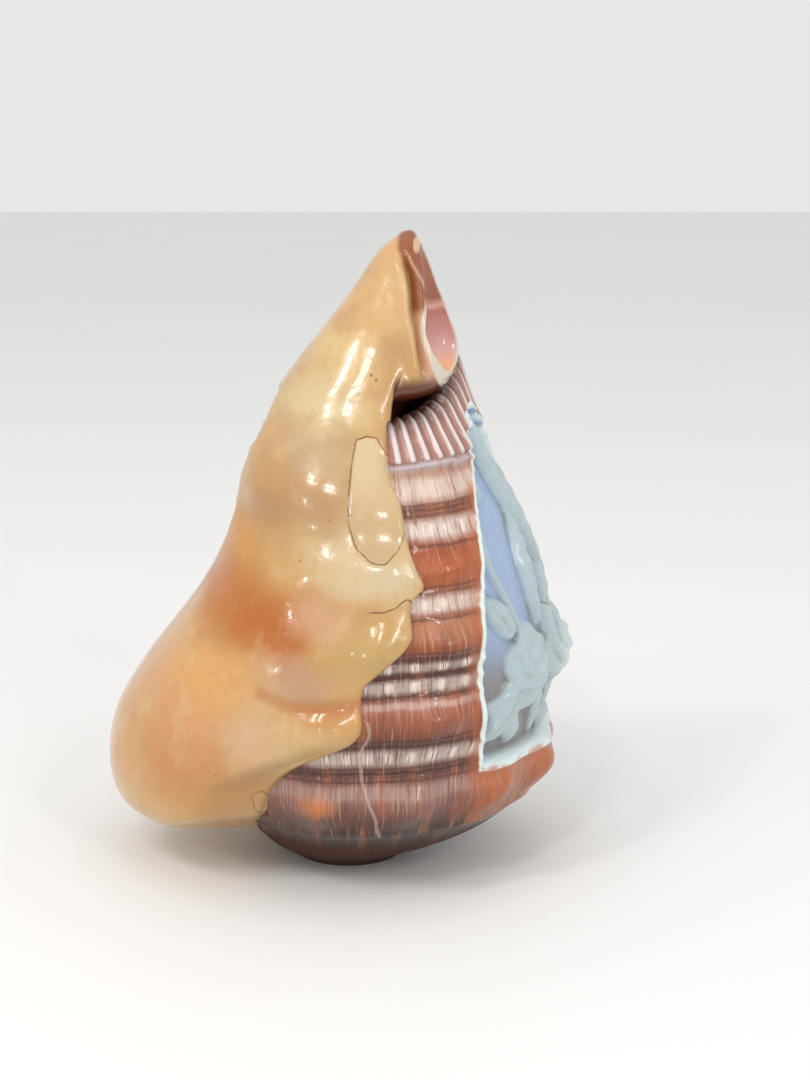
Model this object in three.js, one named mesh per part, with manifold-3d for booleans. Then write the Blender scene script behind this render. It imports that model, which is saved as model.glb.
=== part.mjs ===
// A carved bull-mouth helmet shell that stands on its spire, with the canal end up.
// Millimetres, +Z up. The coiling axis is vertical; the mouth faces -X, the carved back faces +X,
// the side with the spread callus faces -Y and the outer lip is on the +Y side.
// Angles are in degrees, anticlockwise from +X seen from above; the shell grows with the angle.
import * as THREE from 'three';
import { mergeVertices } from 'three/addons/utils/BufferGeometryUtils.js';
import Module from 'manifold-3d';

const wasm = await Module();
wasm.setup();

// Driving dimensions
const shellHeight = 148;
const whorlGrowth = 1.62; // radius gained in one turn
const whorlPitch = 9; // rise of the sculpture bands in one turn
const growthStart = -165; // the last whorl is seen from here
const growthEnd = 112; // to here, behind the outer lip
const underLip = 150; // the wall has dived under the lip here
const fullTurn = 360;
const neckBase = 99; // where the banded whorl ends and the ribbed neck begins
const neckCrest = 122; // crest of the neck at angle 0
const hollowFloor = 90; // bottom of the navel beside the pillar
const shoulderHeight = 19; // lowest point of the whorl's outer wall

const wallLift = 1.2; // the carving's surface stands this far over the smooth wall

const radians = THREE.MathUtils.degToRad;
const mix = THREE.MathUtils.lerp;
const step = THREE.MathUtils.smoothstep; // (value, from, to)
const bell = (distance, width) => Math.exp(-((distance / width) ** 2));

// A smooth curve through a few chosen points, given as [at, value] pairs.
function through(points) {
  const at = points.map((p) => p[0]);
  const value = points.map((p) => p[1]);
  const last = points.length - 1;
  const slope = value.map((_, i) => {
    const before = Math.max(i - 1, 0);
    const after = Math.min(i + 1, last);
    return (value[after] - value[before]) / (at[after] - at[before]);
  });
  return (x) => {
    if (x <= at[0]) return value[0];
    if (x >= at[last]) return value[last];
    const i = at.findIndex((a) => a > x) - 1;
    const span = at[i + 1] - at[i];
    const t = (x - at[i]) / span;
    const rise = value[i + 1] - value[i];
    const bend0 = slope[i] * span - rise;
    const bend1 = rise - slope[i + 1] * span;
    return mix(value[i], value[i + 1], t) + t * (1 - t) * ((1 - t) * bend0 + t * bend1);
  };
}

// The body whorl

// Radius of the wall at angle 0: [height, radius]
const wallRadius = through([
  [12, 36.4], [shoulderHeight, 39.6], [26, 41.8], [35, 43.8], [44, 45.2], [54, 44.8], [63, 43.6], [72, 41.2],
  [81, 37.6], [90, 33.2], [neckBase, 28.8], [107, 24.8], [113, 22.8], [118, 21.6], [neckCrest, 20],
]);
// How tall the neck stands: [angle, share of its full height]
const neckStretch = through([
  [growthStart, 0.02], [-75, 0.1], [-60, 0.28], [-45, 0.58], [-20, 0.88], [0, 1], [45, 0.97], [80, 0.75],
  [110, 0.35], [135, 0.05], [growthStart + fullTurn, 0.02],
]);

// The angle that growth follows: it falls back to the start of the whorl under the outer lip.
function growthAngle(angle) {
  if (angle <= growthEnd) return angle;
  return mix(growthEnd, growthStart, step(angle, growthEnd, underLip));
}
// The neck widens less than the whorl below it.
const neckGrowthShare = 0.35;
function growth(angle, z = 0) {
  const strength = mix(1, neckGrowthShare, step(z, neckBase - 8, neckBase + 12));
  return whorlGrowth ** ((strength * growthAngle(angle)) / fullTurn);
}
const bandRise = (angle) => (whorlPitch * growthAngle(angle)) / fullTurn;
// Height of a point of the wall above the foot of its own sculpture bands.
const bandHeight = (angle, z) => z - bandRise(angle);

// Smooth radius of the body whorl before knobs and carving.
const bodyRadius = (angle, z) => wallRadius(bandHeight(angle, z)) * growth(angle, z);

// Where the free edge of the callus lies on the whorl: [height, angle a turn further on]
const calloEdge = through([
  [6, 205], [12, 217], [18, 231], [22, 235.5], [26, 238.6], [29, 243], [32, 249.5], [35.5, 259], [38, 265.6],
  [40, 269.4], [43, 271.3], [48, 271], [52, 272.4], [55, 277], [60, 284.5], [63, 287], [70, 287.6], [72.8, 292],
  [76, 290.5], [82, 288.5], [94, 288], [101, 287.5], [110, 290],
]);

// Rows of blunt knobs: [height of the row, how far the knobs stand out, half height of the row]
const knobRows = [[25, 4.6, 6], [45, 3.6, 5.2], [62, 3.1, 5], [78, 2.1, 4.5], [93, 1, 4]];
const knobsPerTurn = 12;
const knobStart = -74.5; // angle of a knob in the lowest row
const knobSlant = 0.34; // each row's knobs stand a little further round, in degrees for a millimetre
const knobSharpness = 1.2;
const ridgeShare = 0.3; // how far a row stands out between its knobs
function knobs(angle, band) {
  const around = angle - knobStart - knobSlant * (band - knobRows[0][0]);
  const along = mix(ridgeShare, 1, (0.5 + 0.5 * Math.cos(radians(around * knobsPerTurn))) ** knobSharpness);
  return knobRows.reduce((sum, [row, size, width]) => sum + size * along * bell(band - row, width), 0);
}

// Narrow ribs that run up the neck into the navel.
const ribsPerTurn = 56;
const ribHeight = 0.55;
const ribbedFrom = -80;
const ribColumns = 40; // columns of the mesh over the ribbed part, two to a rib
const ribbedTo = ribbedFrom + (ribColumns * fullTurn) / (2 * ribsPerTurn);
const neckRibs = (angle) => ribHeight * Math.cos(radians((angle - ribbedFrom) * ribsPerTurn));

// The carved panel on the back

// Its two sides: [height, angle]
const panelLeft = through([
  [28, -54.5], [40, -53], [53, -50.5], [66, -47], [76, -43.5], [84, -40], [90, -36.5], [98, -30], [104, -22],
  [110, -10],
]);
const panelRight = through([
  [28, 40], [40, 44], [60, 44], [74, 40], [86, 32], [96, 22], [104, 10], [110, -4],
]);
const panelBottom = 30;
const panelTop = 109;
const panelDepth = 4.2;
const rimTop = 1.1; // the rim's flat top ends here
const rimFoot = 3; // and its inner side reaches the ground here
const panelScale = radians(1) * 42; // millimetres along the panel for one degree

// Leaves: [start angle, start height, tip angle, tip height, half width, relief height]
const leaves = [
  [-18, 108, 2, 70, 6.5, 3.6], [-12, 84, -16, 58, 4, 3.4], [-30, 50, -48, 35, 4.5, 3],
  [-33, 58, -46, 68, 3.5, 2.6], [8, 58, 12, 96, 6, 3.2], [26, 54, 33, 80, 5, 3], [26, 42, 38, 33, 4.5, 2.8],
  [4, 42, 14, 32, 4.5, 2.8],
];
// Blossoms: [angle, height, radius, relief height]
const blossoms = [
  [-24, 50, 11, 4.4], [1, 51, 11.5, 6.8], [24, 47, 10.5, 4.2], [-26, 35, 4.2, 3.2], [-8, 36, 4.4, 3],
];
const petals = 5;
const petalDip = 0.15; // share lost between two petals

function leafHeight([startAngle, startZ, tipAngle, tipZ, halfWidth, height], angle, z) {
  const along = new THREE.Vector2((tipAngle - startAngle) * panelScale, tipZ - startZ);
  const here = new THREE.Vector2((angle - startAngle) * panelScale, z - startZ);
  const length = along.length();
  along.normalize();
  const s = here.dot(along) / length;
  const across = Math.abs(here.cross(along));
  if (s <= 0 || s >= 1) return 0;
  const reach = halfWidth * Math.sin(Math.PI * s ** 0.8) ** 0.7;
  return across < reach ? height * (1 - (across / reach) ** 2) : 0;
}
function blossomHeight([centreAngle, centreZ, radius, height], angle, z) {
  const x = (angle - centreAngle) * panelScale;
  const y = z - centreZ;
  const lobe = mix(1 - petalDip, 1, Math.abs(Math.cos((petals / 2) * Math.atan2(y, x))));
  const out = Math.hypot(x, y) / (radius * lobe);
  return out < 1 ? height * (1 - out ** 3) * lobe : 0;
}
// How far inside the panel's outline a point is, in millimetres; negative outside.
function insidePanel(angle, z) {
  const fromLeft = (angle - panelLeft(z)) * panelScale;
  const fromRight = (panelRight(z) - angle) * panelScale;
  return Math.min(fromLeft, fromRight, z - panelBottom, panelTop - z);
}
// Radius of the wall with the carving cut into it.
function carved(radius, angle, z) {
  const cut = step(insidePanel(angle, z), rimTop, rimFoot);
  const leafy = leaves.map((leaf) => leafHeight(leaf, angle, z));
  const flowery = blossoms.map((blossom) => blossomHeight(blossom, angle, z));
  const relief = Math.max(...leafy, ...flowery) - panelDepth;
  return mix(radius, bodyRadius(angle, z) + wallLift + relief, cut);
}

// A closed solid over the columns and rows of a sphere, each vertex placed by place(column, row).
// Columns run anticlockwise seen from above and rows from the top pole to the bottom one.
function wrapped(columns, rows, place) {
  const geometry = new THREE.SphereGeometry(1, columns, rows);
  const position = geometry.getAttribute('position');
  for (let i = 0; i < position.count; i += 1) {
    const column = (i % (columns + 1)) % columns; // the last column is the first one again
    const row = Math.floor(i / (columns + 1));
    position.setXYZ(i, ...place(column, row));
  }
  return toSolid(geometry);
}
function toSolid(geometry) {
  geometry.deleteAttribute('normal');
  geometry.deleteAttribute('uv');
  const merged = mergeVertices(geometry, 1e-3);
  const vertProperties = new Float32Array(merged.getAttribute('position').array);
  const triVerts = new Uint32Array(merged.index.array);
  const solid = new wasm.Manifold(new wasm.Mesh({ numProp: 3, vertProperties, triVerts }));
  if (solid.volume() > 0) return solid;
  return new wasm.Manifold(new wasm.Mesh({ numProp: 3, vertProperties, triVerts: triVerts.reverse() }));
}
// Values from first to last in count equal steps, without the last one.
const stretch = (first, last, count) => Array.from({ length: count }, (_, i) => mix(first, last, i / count));

// Columns stand at even steps where the neck ribs are, and below them follow the panel's two sides.
const buriedAngles = stretch(growthStart, ribbedFrom, 8);
const farAngles = [
  ...stretch(ribbedTo, growthEnd, 9), ...stretch(growthEnd, growthStart + fullTurn, 5),
];
const neckAngles = [...buriedAngles, ...stretch(ribbedFrom, ribbedTo, ribColumns), ...farAngles];
function bodyAngle(column, z) {
  const left = panelLeft(z);
  const right = panelRight(z);
  const rim = rimFoot / panelScale;
  const wallAngles = [
    ...buriedAngles,
    ...stretch(ribbedFrom, left - 0.5, 9), left - 0.5, left + 1, left + rim,
    ...stretch(left + rim + 3, right - rim, 23), right - rim, right - 1, right + 0.5,
    ...stretch(right + 3, ribbedTo, 2),
    ...farAngles,
  ];
  return mix(wallAngles[column], neckAngles[column], step(z, neckBase - 8, neckBase + 2));
}
// The spire's underside: [radius, height] from the rim inwards, at angle 0
const underside = [[37.4, 16], [33, 12.2], [26.8, 8.4], [20.5, 5], [15.4, 2.1], [11.2, -0.8], [0, -3]];
const baseShift = -4; // the flat at the bottom lies a little towards the mouth
const navelRadii = [0, 9, 14, 17.5];
const navelDrops = [1, 0.85, 0.35, 0.04]; // share of the way from the crest down to the floor
const wallRows = [...stretch(neckBase, shoulderHeight - 2, 27), shoulderHeight - 2];
const neckRows = stretch(neckCrest, neckBase, 6);

// 1 where the whorl lies open, falling to 0 under the callus.
const openShare = (angle, z) => step(angle + fullTurn - calloEdge(z), -7, 0);
const tuckedIn = 5; // how far the neck draws back under the callus
function bodyPoint(column, row) {
  const wallRow = row - navelRadii.length - neckRows.length;
  let radius;
  let z;
  let shift = 0;
  let angle = neckAngles[column];
  const neck = neckStretch(angle);
  if (row < navelRadii.length) {
    radius = navelRadii[row] * growth(angle, neckCrest);
    z = mix(neckBase + (neckCrest - neckBase) * neck, hollowFloor, navelDrops[row]);
  } else if (wallRow < 0) {
    const high = neckRows[row - navelRadii.length];
    const up = (high - neckBase) / (neckCrest - neckBase);
    z = neckBase + (high - neckBase) * neck + bandRise(angle) * (1 - up);
    radius = wallRadius(high) * growth(angle, high);
    radius += neckRibs(angle) * Math.sin(Math.PI * Math.min(1, 1.15 - up));
  } else if (wallRow < wallRows.length) {
    const high = wallRows[wallRow];
    angle = bodyAngle(column, high);
    z = high + bandRise(angle);
    radius = wallRadius(high) * growth(angle, high) + knobs(angle, high) * openShare(angle, z);
  } else {
    const [reach, low] = underside[wallRow - wallRows.length];
    angle = bodyAngle(column, low);
    const outer = step(reach, 8, 34);
    z = low + bandRise(angle) * outer;
    radius = reach * mix(1, growth(angle), outer) + outer * knobs(angle, low) * openShare(angle, z);
    shift = baseShift * (1 - step(reach, 12, 38));
  }
  if (row >= navelRadii.length) {
    if (z > panelBottom) radius = carved(radius, angle, z);
    radius -= tuckedIn * (1 - openShare(angle, z)) * step(z, 78, 94);
  }
  const turn = radians(angle);
  return [radius * Math.cos(turn) + shift, radius * Math.sin(turn), z];
}
const bodyRows = navelRadii.length + neckRows.length + wallRows.length + underside.length;
const body = wrapped(neckAngles.length, bodyRows - 1, bodyPoint);

// The callus shield, outer lip and canal spout: one solid round an axis that leans back at the top

const spoutAxisX = through([
  [100, 0], [112, 1.5], [119, 4], [125, 5.5], [136, 8], [144, 9.6], [shellHeight, 10.5],
]);
const spoutAxisY = through([[100, 0], [112, 0.5], [122, 2], [shellHeight, 1]]);
// How far the outline reaches at each height: towards the mouth, the callus, the lip and the back
const ventralReach = through([
  [6, 53], [14, 58.5], [24, 61], [36, 59], [48, 52], [58, 44.5], [66, 38.6], [75, 33.6], [84, 30.4],
  [92, 29], [99, 26.8], [107, 22.8], [114, 18.6], [122, 12.5], [131, 5.4], [138, 0.4], [144, -3.5],
  [shellHeight - 1, -6.5],
]);
const parietalReach = through([
  [6, 34], [14, 38], [24, 40.5], [40, 42], [55, 40.5], [70, 37.5], [82, 33.5], [92, 28.5], [100, 23.5],
  [108, 19], [114, 16.5], [122, 13], [131, 10], [138, 8], [144, 6], [shellHeight - 1, 3.5],
]);
const lipReach = through([
  [6, 34], [14, 44], [24, 53], [36, 59], [50, 60.5], [64, 57], [78, 50], [90, 42], [100, 34], [110, 26],
  [120, 19], [131, 12.5], [138, 9.5], [144, 7], [shellHeight - 1, 4.5],
]);
const dorsalReach = through([
  [90, 8], [104, 8], [109, 10], [113, 17], [117, 21], [122, 21.6], [129, 19.4], [135.5, 16.8], [143, 14.2],
  [shellHeight - 1, 13],
]);
// Where the outer lip is turned back onto the whorl: [height, angle]
const lipBack = through([[6, 135], [20, 118], [50, 108], [80, 106], [100, 100], [110, 85]]);
const slotAngle = through([[16, 158], [40, 164], [70, 168], [95, 172], [112, 176]]);
const slotWidth = through([[14, 0], [22, 7], [40, 10.5], [80, 10], [104, 8], [113, 0]]);
const slotDepth = 16;
const slotRounding = 2.2; // the lips fall in by this much at the slot
const slotMargin = 12; // the rounding and the teeth lie within this distance of its middle
const toothStep = 6;
const toothHeight = 2;
const firstTooth = 21;
const lastTooth = 106;
const calloThickness = 1.3;
const pillarAhead = 15; // the front's inner side, hidden in the whorl

// Distance from the leaning axis to a rounded outline with four separate reaches.
function roundedReach(angle, ahead, left, behind, right, fullness) {
  const c = Math.cos(radians(angle));
  const s = Math.sin(radians(angle));
  const alongX = Math.abs(c) / (c > 0 ? ahead : behind);
  const alongY = Math.abs(s) / (s > 0 ? left : right);
  return (alongX ** fullness + alongY ** fullness) ** (-1 / fullness);
}
function smoothLarger(a, b, soft) {
  const blend = step(0.5 + (a - b) / (2 * soft), 0, 1);
  return mix(b, a, blend) + soft * blend * (1 - blend) * 0.5;
}
function frontRadius(angle, z) {
  const x = spoutAxisX(z);
  const y = spoutAxisY(z);
  const ahead = mix(pillarAhead, dorsalReach(z) - x, step(z, 110, 114));
  const left = Math.max(lipReach(z) - y, 0.8);
  const behind = Math.max(ventralReach(z) + x, 1);
  const right = Math.max(parietalReach(z) + y, 0.8);
  const outer = roundedReach(angle, ahead, left, behind, right, angle < 180 ? 2.35 : 2.1);
  if (angle < 180) return outer;
  const under = angle - fullTurn; // the same place on the whorl below
  const draped = 0.85 * knobs(under, bandHeight(under, z)) * step(angle - calloEdge(z), -30, -2);
  const onBody = bodyRadius(under, z) + draped + calloThickness;
  const clinging = step(angle - calloEdge(z), -15, -1) * (1 - step(z, 84, 96));
  return mix(smoothLarger(outer, onBody - 16 * step(z, 86, 108), 2), onBody + 0.8, clinging);
}
const pillarRadius = (z) => dorsalReach(z) - spoutAxisX(z);
const calloLip = 1.2; // degrees over which the free edge falls away
// Columns of the front: lip back, lip, mouth slot, shield, free edge, pillar
const frontColumns = 41;
const lastInFront = 33;
function frontAngle(column, z) {
  const back = lipBack(z);
  const slot = slotAngle(z);
  const half = (slotWidth(z) / 2 + 0.4) / radians(Math.max(frontRadius(slot, z), 6));
  const edge = calloEdge(z);
  const angles = [
    back - 7, back, ...stretch(back + 5, slot - half - 6, 6),
    slot - half - 4, slot - half - 0.5, slot - half * 0.75,
    slot + half * 0.75, slot + half + 0.5, slot + half + 4,
    ...stretch(slot + half + 8, edge - 2, 19), edge - calloLip,
    edge + calloLip, ...stretch(edge + 10, back + fullTurn - 7, 6), back + fullTurn - 7,
  ];
  return angles[column];
}
function frontPoint(column, row) {
  const [shrink, z] = frontRowPlaces[row];
  const angle = frontAngle(column, z);
  const opened = slotWidth(z);
  let radius = frontRadius(angle, z);
  const inFront = column >= 1 && column <= lastInFront;
  if (!inFront) radius = mix(pillarRadius(z), radius, step(z, 104, 114));
  const away = Math.abs(angle - slotAngle(z)) * radians(radius);
  if (opened > 1 && away < slotMargin) {
    radius -= slotRounding * (1 - step(away, opened / 2 + 1, opened / 2 + 6));
    const phase = Math.cos((Math.PI * 2 * (z - firstTooth)) / toothStep);
    if (z > firstTooth - 2 && z < lastTooth) radius -= (toothHeight * (1 - phase)) / 2;
    if (away < opened / 2) radius -= slotDepth;
  }
  const turn = radians(angle);
  const x = shrink * radius * Math.cos(turn) + spoutAxisX(z);
  const y = shrink * radius * Math.sin(turn) + spoutAxisY(z);
  return [x, y, z];
}
// [share of the outline, height] for each row, from the tip to the middle of the underside
const spoutHeights = [shellHeight - 3, ...stretch(142, 122, 5), 122, 119, 116, 113.5, 111];
const frontRowPlaces = [
  [0, shellHeight], [0.75, shellHeight - 0.6],
  ...[...spoutHeights, ...stretch(108, 18, 30)].map((z) => [1, z]),
  [1, 18], [0.985, 14.6], [0.94, 12.2], [0.87, 10.6], [0.76, 9.6], [0, 9.6],
];
const front = wrapped(frontColumns, frontRowPlaces.length - 1, frontPoint);

// The mouth's hollow: a tall tube that winds back from the slot round the pillar
const hollowMiddle = 58;
const pillarWidth = 9;
const wallThickness = 8.5;
const hollowSides = 14;
// [angle, share of the full section, half height]
const hollowSections = [
  [178, 0, 30], [177, 0.7, 38], [170, 1, 41], [150, 1, 41], [125, 1, 40], [95, 1, 39], [65, 1, 37],
  [35, 1, 35], [5, 1, 33], [-25, 0.95, 31], [-55, 0.85, 28], [-80, 0.65, 24], [-96, 0.4, 18], [-104, 0, 12],
];
function hollowPoint(column, row) {
  const [angle, share, halfHeight] = hollowSections[row];
  const around = (column / hollowSides) * 2 * Math.PI;
  const z = hollowMiddle + share * halfHeight * Math.sin(around);
  const inWhorl = bodyRadius(Math.min(angle, growthEnd), z) - wallThickness;
  const behindSlot = frontRadius(slotAngle(z), z) - slotDepth + 5;
  const outer = mix(inWhorl, behindSlot, step(angle, 118, 165));
  const middle = (pillarWidth + outer) / 2;
  const out = Math.cos(around);
  const radius = middle + share * (outer - middle) * Math.sign(out) * Math.abs(out) ** 0.7;
  const turn = radians(angle);
  return [radius * Math.cos(turn), radius * Math.sin(turn), z];
}
const hollow = wrapped(hollowSides, hollowSections.length - 1, hollowPoint);

// A round-ended tube along a curve: stops are [x, y, z, radius].
function bored(stops, sides, rings) {
  const curve = new THREE.CatmullRomCurve3(stops.map(([x, y, z]) => new THREE.Vector3(x, y, z)));
  const widthAt = through(stops.map((stop, i) => [i / (stops.length - 1), stop[3]]));
  const { normals, binormals } = curve.computeFrenetFrames(rings);
  return wrapped(sides, rings, (column, row) => {
    const share = row / rings;
    const turn = (column / sides) * 2 * Math.PI;
    const end = row === 0 || row === rings ? 0 : widthAt(share);
    return curve.getPoint(share)
      .addScaledVector(normals[row], end * Math.cos(turn))
      .addScaledVector(binormals[row], end * Math.sin(turn))
      .toArray();
  });
}
// The canal runs from the mouth up through the spout, and the scoop is its open end.
const canal = bored([
  [-20, 5, 92, 4], [-11, 3, 106, 4.2], [-2, -1, 116, 4], [6, -5, 122, 4], [14, -7, 124, 4],
], 10, 12);
const scoop = bored([
  [18.5, -7, 111, 2], [19, -7, 117, 5.6], [19.4, -7, 124, 6.4], [18.6, -6, 131, 4.8], [16.4, -4.5, 139, 3.2],
  [14.4, -3, shellHeight, 2],
], 12, 12);

// Everything below z = 0 is ground away, which leaves the flat that the shell stands on.
const groundAway = new THREE.BoxGeometry(200, 200, 20).translate(0, 0, -10);
const shell = body.add(front).subtract(hollow).subtract(canal).subtract(scoop).subtract(toSolid(groundAway));

// The part's origin is under the middle of the whole outline.
function meshOf(solid, name, colour) {
  const { numProp, vertProperties, triVerts } = solid.getMesh();
  const geometry = new THREE.BufferGeometry();
  geometry.setAttribute('position', new THREE.BufferAttribute(vertProperties, numProp));
  geometry.setIndex(new THREE.BufferAttribute(triVerts, 1));
  geometry.computeBoundingBox();
  const middle = geometry.boundingBox.getCenter(new THREE.Vector3());
  geometry.translate(-middle.x, -middle.y, 0);
  const material = new THREE.MeshStandardMaterial({ color: colour, roughness: 0.25, metalness: 0 });
  const mesh = new THREE.Mesh(geometry, material);
  mesh.name = name;
  return mesh;
}

const group = new THREE.Group();
group.add(meshOf(shell, 'carved_shell', '#d9a06b'));
export default group;
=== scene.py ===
import math
from functools import reduce
from operator import add
import bpy
import numpy as np
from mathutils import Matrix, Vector


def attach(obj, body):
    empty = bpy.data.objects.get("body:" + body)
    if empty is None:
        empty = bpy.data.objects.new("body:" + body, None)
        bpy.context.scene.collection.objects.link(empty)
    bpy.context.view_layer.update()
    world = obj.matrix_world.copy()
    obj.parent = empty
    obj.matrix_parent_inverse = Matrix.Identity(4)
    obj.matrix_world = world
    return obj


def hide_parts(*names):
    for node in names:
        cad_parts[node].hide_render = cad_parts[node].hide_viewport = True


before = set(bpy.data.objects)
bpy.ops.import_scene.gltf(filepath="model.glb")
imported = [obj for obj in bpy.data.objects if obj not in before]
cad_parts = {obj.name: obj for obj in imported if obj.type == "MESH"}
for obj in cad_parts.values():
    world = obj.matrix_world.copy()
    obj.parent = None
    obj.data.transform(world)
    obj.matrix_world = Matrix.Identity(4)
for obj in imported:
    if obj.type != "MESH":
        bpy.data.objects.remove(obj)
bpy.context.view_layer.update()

mm = 0.001
# the coiling axis stands here in the frame, in mm; all shapes below are drawn round it
axisX, axisY = 6.07, -6.997
turn = 360.0


def added(name, data):  # a new object, put in the scene
    piece = bpy.data.objects.new(name, data)
    bpy.context.collection.objects.link(piece)
    return piece


# camera
camera = added("camera", bpy.data.cameras.new("camera"))
bpy.context.scene.camera = camera
view = {"distance": 480.0, "height": 75.0, "rise": math.radians(12.0), "aimRight": 9.4, "aimUp": 0.9,
        "sensor": 36.0, "focal": 2045.0, "pixelsHigh": 1080.0}
camera.data.sensor_fit = "VERTICAL"
camera.data.sensor_height = view["sensor"]
camera.data.lens = view["sensor"] * view["focal"] / view["pixelsHigh"]
camera.data.clip_start = 0.01
camera.data.clip_end = 20.0
upward = Vector((0.0, math.sin(view["rise"]), math.cos(view["rise"])))
back = Vector((0.0, -math.cos(view["rise"]), math.sin(view["rise"])))
aim = Vector((axisX + view["aimRight"], axisY, view["height"])) + upward * view["aimUp"]
camera.location = (aim + back * view["distance"]) * mm
camera.rotation_euler = (-back).to_track_quat("-Z", "Y").to_euler()
print("camera set")


# curves and small helpers
def through(points):
    at, value = np.array(points, float).T
    last = len(at) - 1
    before = np.maximum(np.arange(last + 1) - 1, 0)
    after = np.minimum(np.arange(last + 1) + 1, last)
    slope = (value[after] - value[before]) / (at[after] - at[before])

    def curve(x):
        x = np.clip(np.asarray(x, float), at[0], at[-1])
        i = np.clip(np.searchsorted(at, x, side="right") - 1, 0, last - 1)
        span = at[i + 1] - at[i]
        t = (x - at[i]) / span
        rise = value[i + 1] - value[i]
        bend0 = slope[i] * span - rise
        bend1 = rise - slope[i + 1] * span
        return value[i] + rise * t + t * (1 - t) * ((1 - t) * bend0 + t * bend1)
    return curve


def mix(a, b, share):
    return a + (b - a) * share


def step(x, low, high):
    t = np.clip((np.asarray(x, float) - low) / (high - low), 0.0, 1.0)
    return t * t * (3 - 2 * t)


def bell(distance, width):
    return np.exp(-(distance / width) ** 2)


def fromSegment(x, z, x0, z0, x1, z1):  # distance from a straight piece of a line
    length = (x1 - x0) ** 2 + (z1 - z0) ** 2
    t = np.clip(((x - x0) * (x1 - x0) + (z - z0) * (z1 - z0)) / length, 0, 1)
    return np.hypot(x - mix(x0, x1, t), z - mix(z0, z1, t))


def spread(stops):  # [(value, number of steps to the next stop), ...] to one row of values
    row = []
    for (start, count), (end, _) in zip(stops, stops[1:]):
        row += list(np.linspace(start, end, count, endpoint=False))
    return np.array(row)


# node trees
class Wire:  # one socket of a node; arithmetic on it adds Math nodes
    def __init__(self, tree, socket):
        self.tree, self.socket = tree, socket

    def math(self, operation, *others):
        sockets = dict(enumerate([self, *others]))
        return self.tree.node("ShaderNodeMath", {"operation": operation}, sockets)

    def __add__(self, other):
        return self.math("ADD", other)

    def __sub__(self, other):
        return self.math("SUBTRACT", other)

    def __mul__(self, other):
        return self.math("MULTIPLY", other)

    def __truediv__(self, other):
        return self.math("DIVIDE", other)

    def __rsub__(self, other):
        return self * -1.0 + other

    __radd__, __rmul__ = __add__, __mul__


class Tree:
    def __init__(self, nodeTree):
        self.nodes, self.links = nodeTree.nodes, nodeTree.links

    def node(self, kind, settings={}, sockets={}, out=0):
        made = self.nodes.new(kind)
        for setting, value in settings.items():
            if setting == "stops":
                while len(made.color_ramp.elements) < len(value):
                    made.color_ramp.elements.new(0.5)
                for element, (place, colour) in zip(made.color_ramp.elements, value):
                    element.position, element.color = place, colour
            else:
                setattr(made, setting, value)
        for socket, value in sockets.items():
            if isinstance(value, Wire):
                self.links.new(value.socket, made.inputs[socket])
            else:
                made.inputs[socket].default_value = value
        return Wire(self, made.outputs[out])


# body whorl
whorlGrowth, whorlPitch = 1.62, 9.0
growthStart, growthEnd, underLip = -165.0, 112.0, 150.0
neckBase, neckCrest, hollowFloor, shoulder = 99.0, 122.0, 90.0, 19.0
wallRadius = through([
    (12, 36.4), (19, 39.6), (26, 41.8), (35, 43.8), (44, 45.2), (54, 44.8), (63, 43.6), (72, 41.2),
    (81, 37.6), (90, 33.2), (99, 28.8), (103, 27.4), (107, 25.8), (112, 24), (117, 22.4), (120, 21.2),
    (122, 19.6)])
neckStretch = through([
    (-165, 0.02), (-100, 0.2), (-80, 0.3), (-60, 0.35), (-45, 0.41), (-28, 0.52), (-17, 0.64), (0, 0.86),
    (20, 1), (45, 0.97), (80, 0.75), (110, 0.35), (135, 0.05), (195, 0.02)])
calloEdge = through([
    (6, 205), (12, 217), (18, 231), (22, 235.5), (26, 238.6), (29, 243), (32, 249.5), (35.5, 259),
    (38, 265.6), (40, 269.4), (43, 271.3), (48, 271), (52, 272.4), (55, 277), (60, 284.5), (63, 287),
    (70, 287.6), (72.8, 292), (76, 290.5), (82, 288.5), (94, 288), (101, 287.5), (110, 290)])
knobRows = [(25, 4.8, 5.6), (45, 3.9, 4.8), (62, 3.4, 4.4), (78, 2.3, 4.2), (93, 1, 3.6)]
cordRows = [(32.2, 0.5, 0.8), (34.2, 0.45, 0.8), (38.6, 0.5, 0.9), (50.6, 0.4, 0.8), (54.2, 0.45, 0.7),
            (57.6, 0.4, 0.8), (67.8, 0.35, 0.8), (72.6, 0.35, 0.8), (83.2, 0.3, 0.8), (87.8, 0.3, 0.8),
            (96.4, 0.3, 0.8)]
ribsPerTurn = 48.0
ribsFrom = -80.0  # angle of the first rib on the open neck


def growthAngle(angle):
    falling = mix(growthEnd, growthStart, step(angle, growthEnd, underLip))
    return np.where(angle <= growthEnd, angle, falling)


def growth(angle, z):
    strength = mix(1.0, 0.35, step(z, neckBase - 8, neckBase + 12))
    return whorlGrowth ** (strength * growthAngle(angle) / turn)


def bandRise(angle):
    return whorlPitch * growthAngle(angle) / turn


def bodyRadius(angle, z):
    return wallRadius(z - bandRise(angle)) * growth(angle, z)


def knobs(angle, band):
    around = np.radians((angle + 74.5 - 0.34 * (band - 25)) * 12)
    along = mix(0.3, 1.0, (0.5 + 0.5 * np.cos(around)) ** 1.2)
    return sum(size * along * bell(band - row, width) for row, size, width in knobRows)


def cords(band):
    return sum(size * bell(band - row, width) for row, size, width in cordRows)


def openShare(angle, z):  # 1 where the whorl lies open, 0 well under the callus
    return step(angle + turn - calloEdge(z), -7, 0)


def ribPhase(angle):
    share = (angle - ribsFrom) * ribsPerTurn / turn
    return share - np.round(share)


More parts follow.
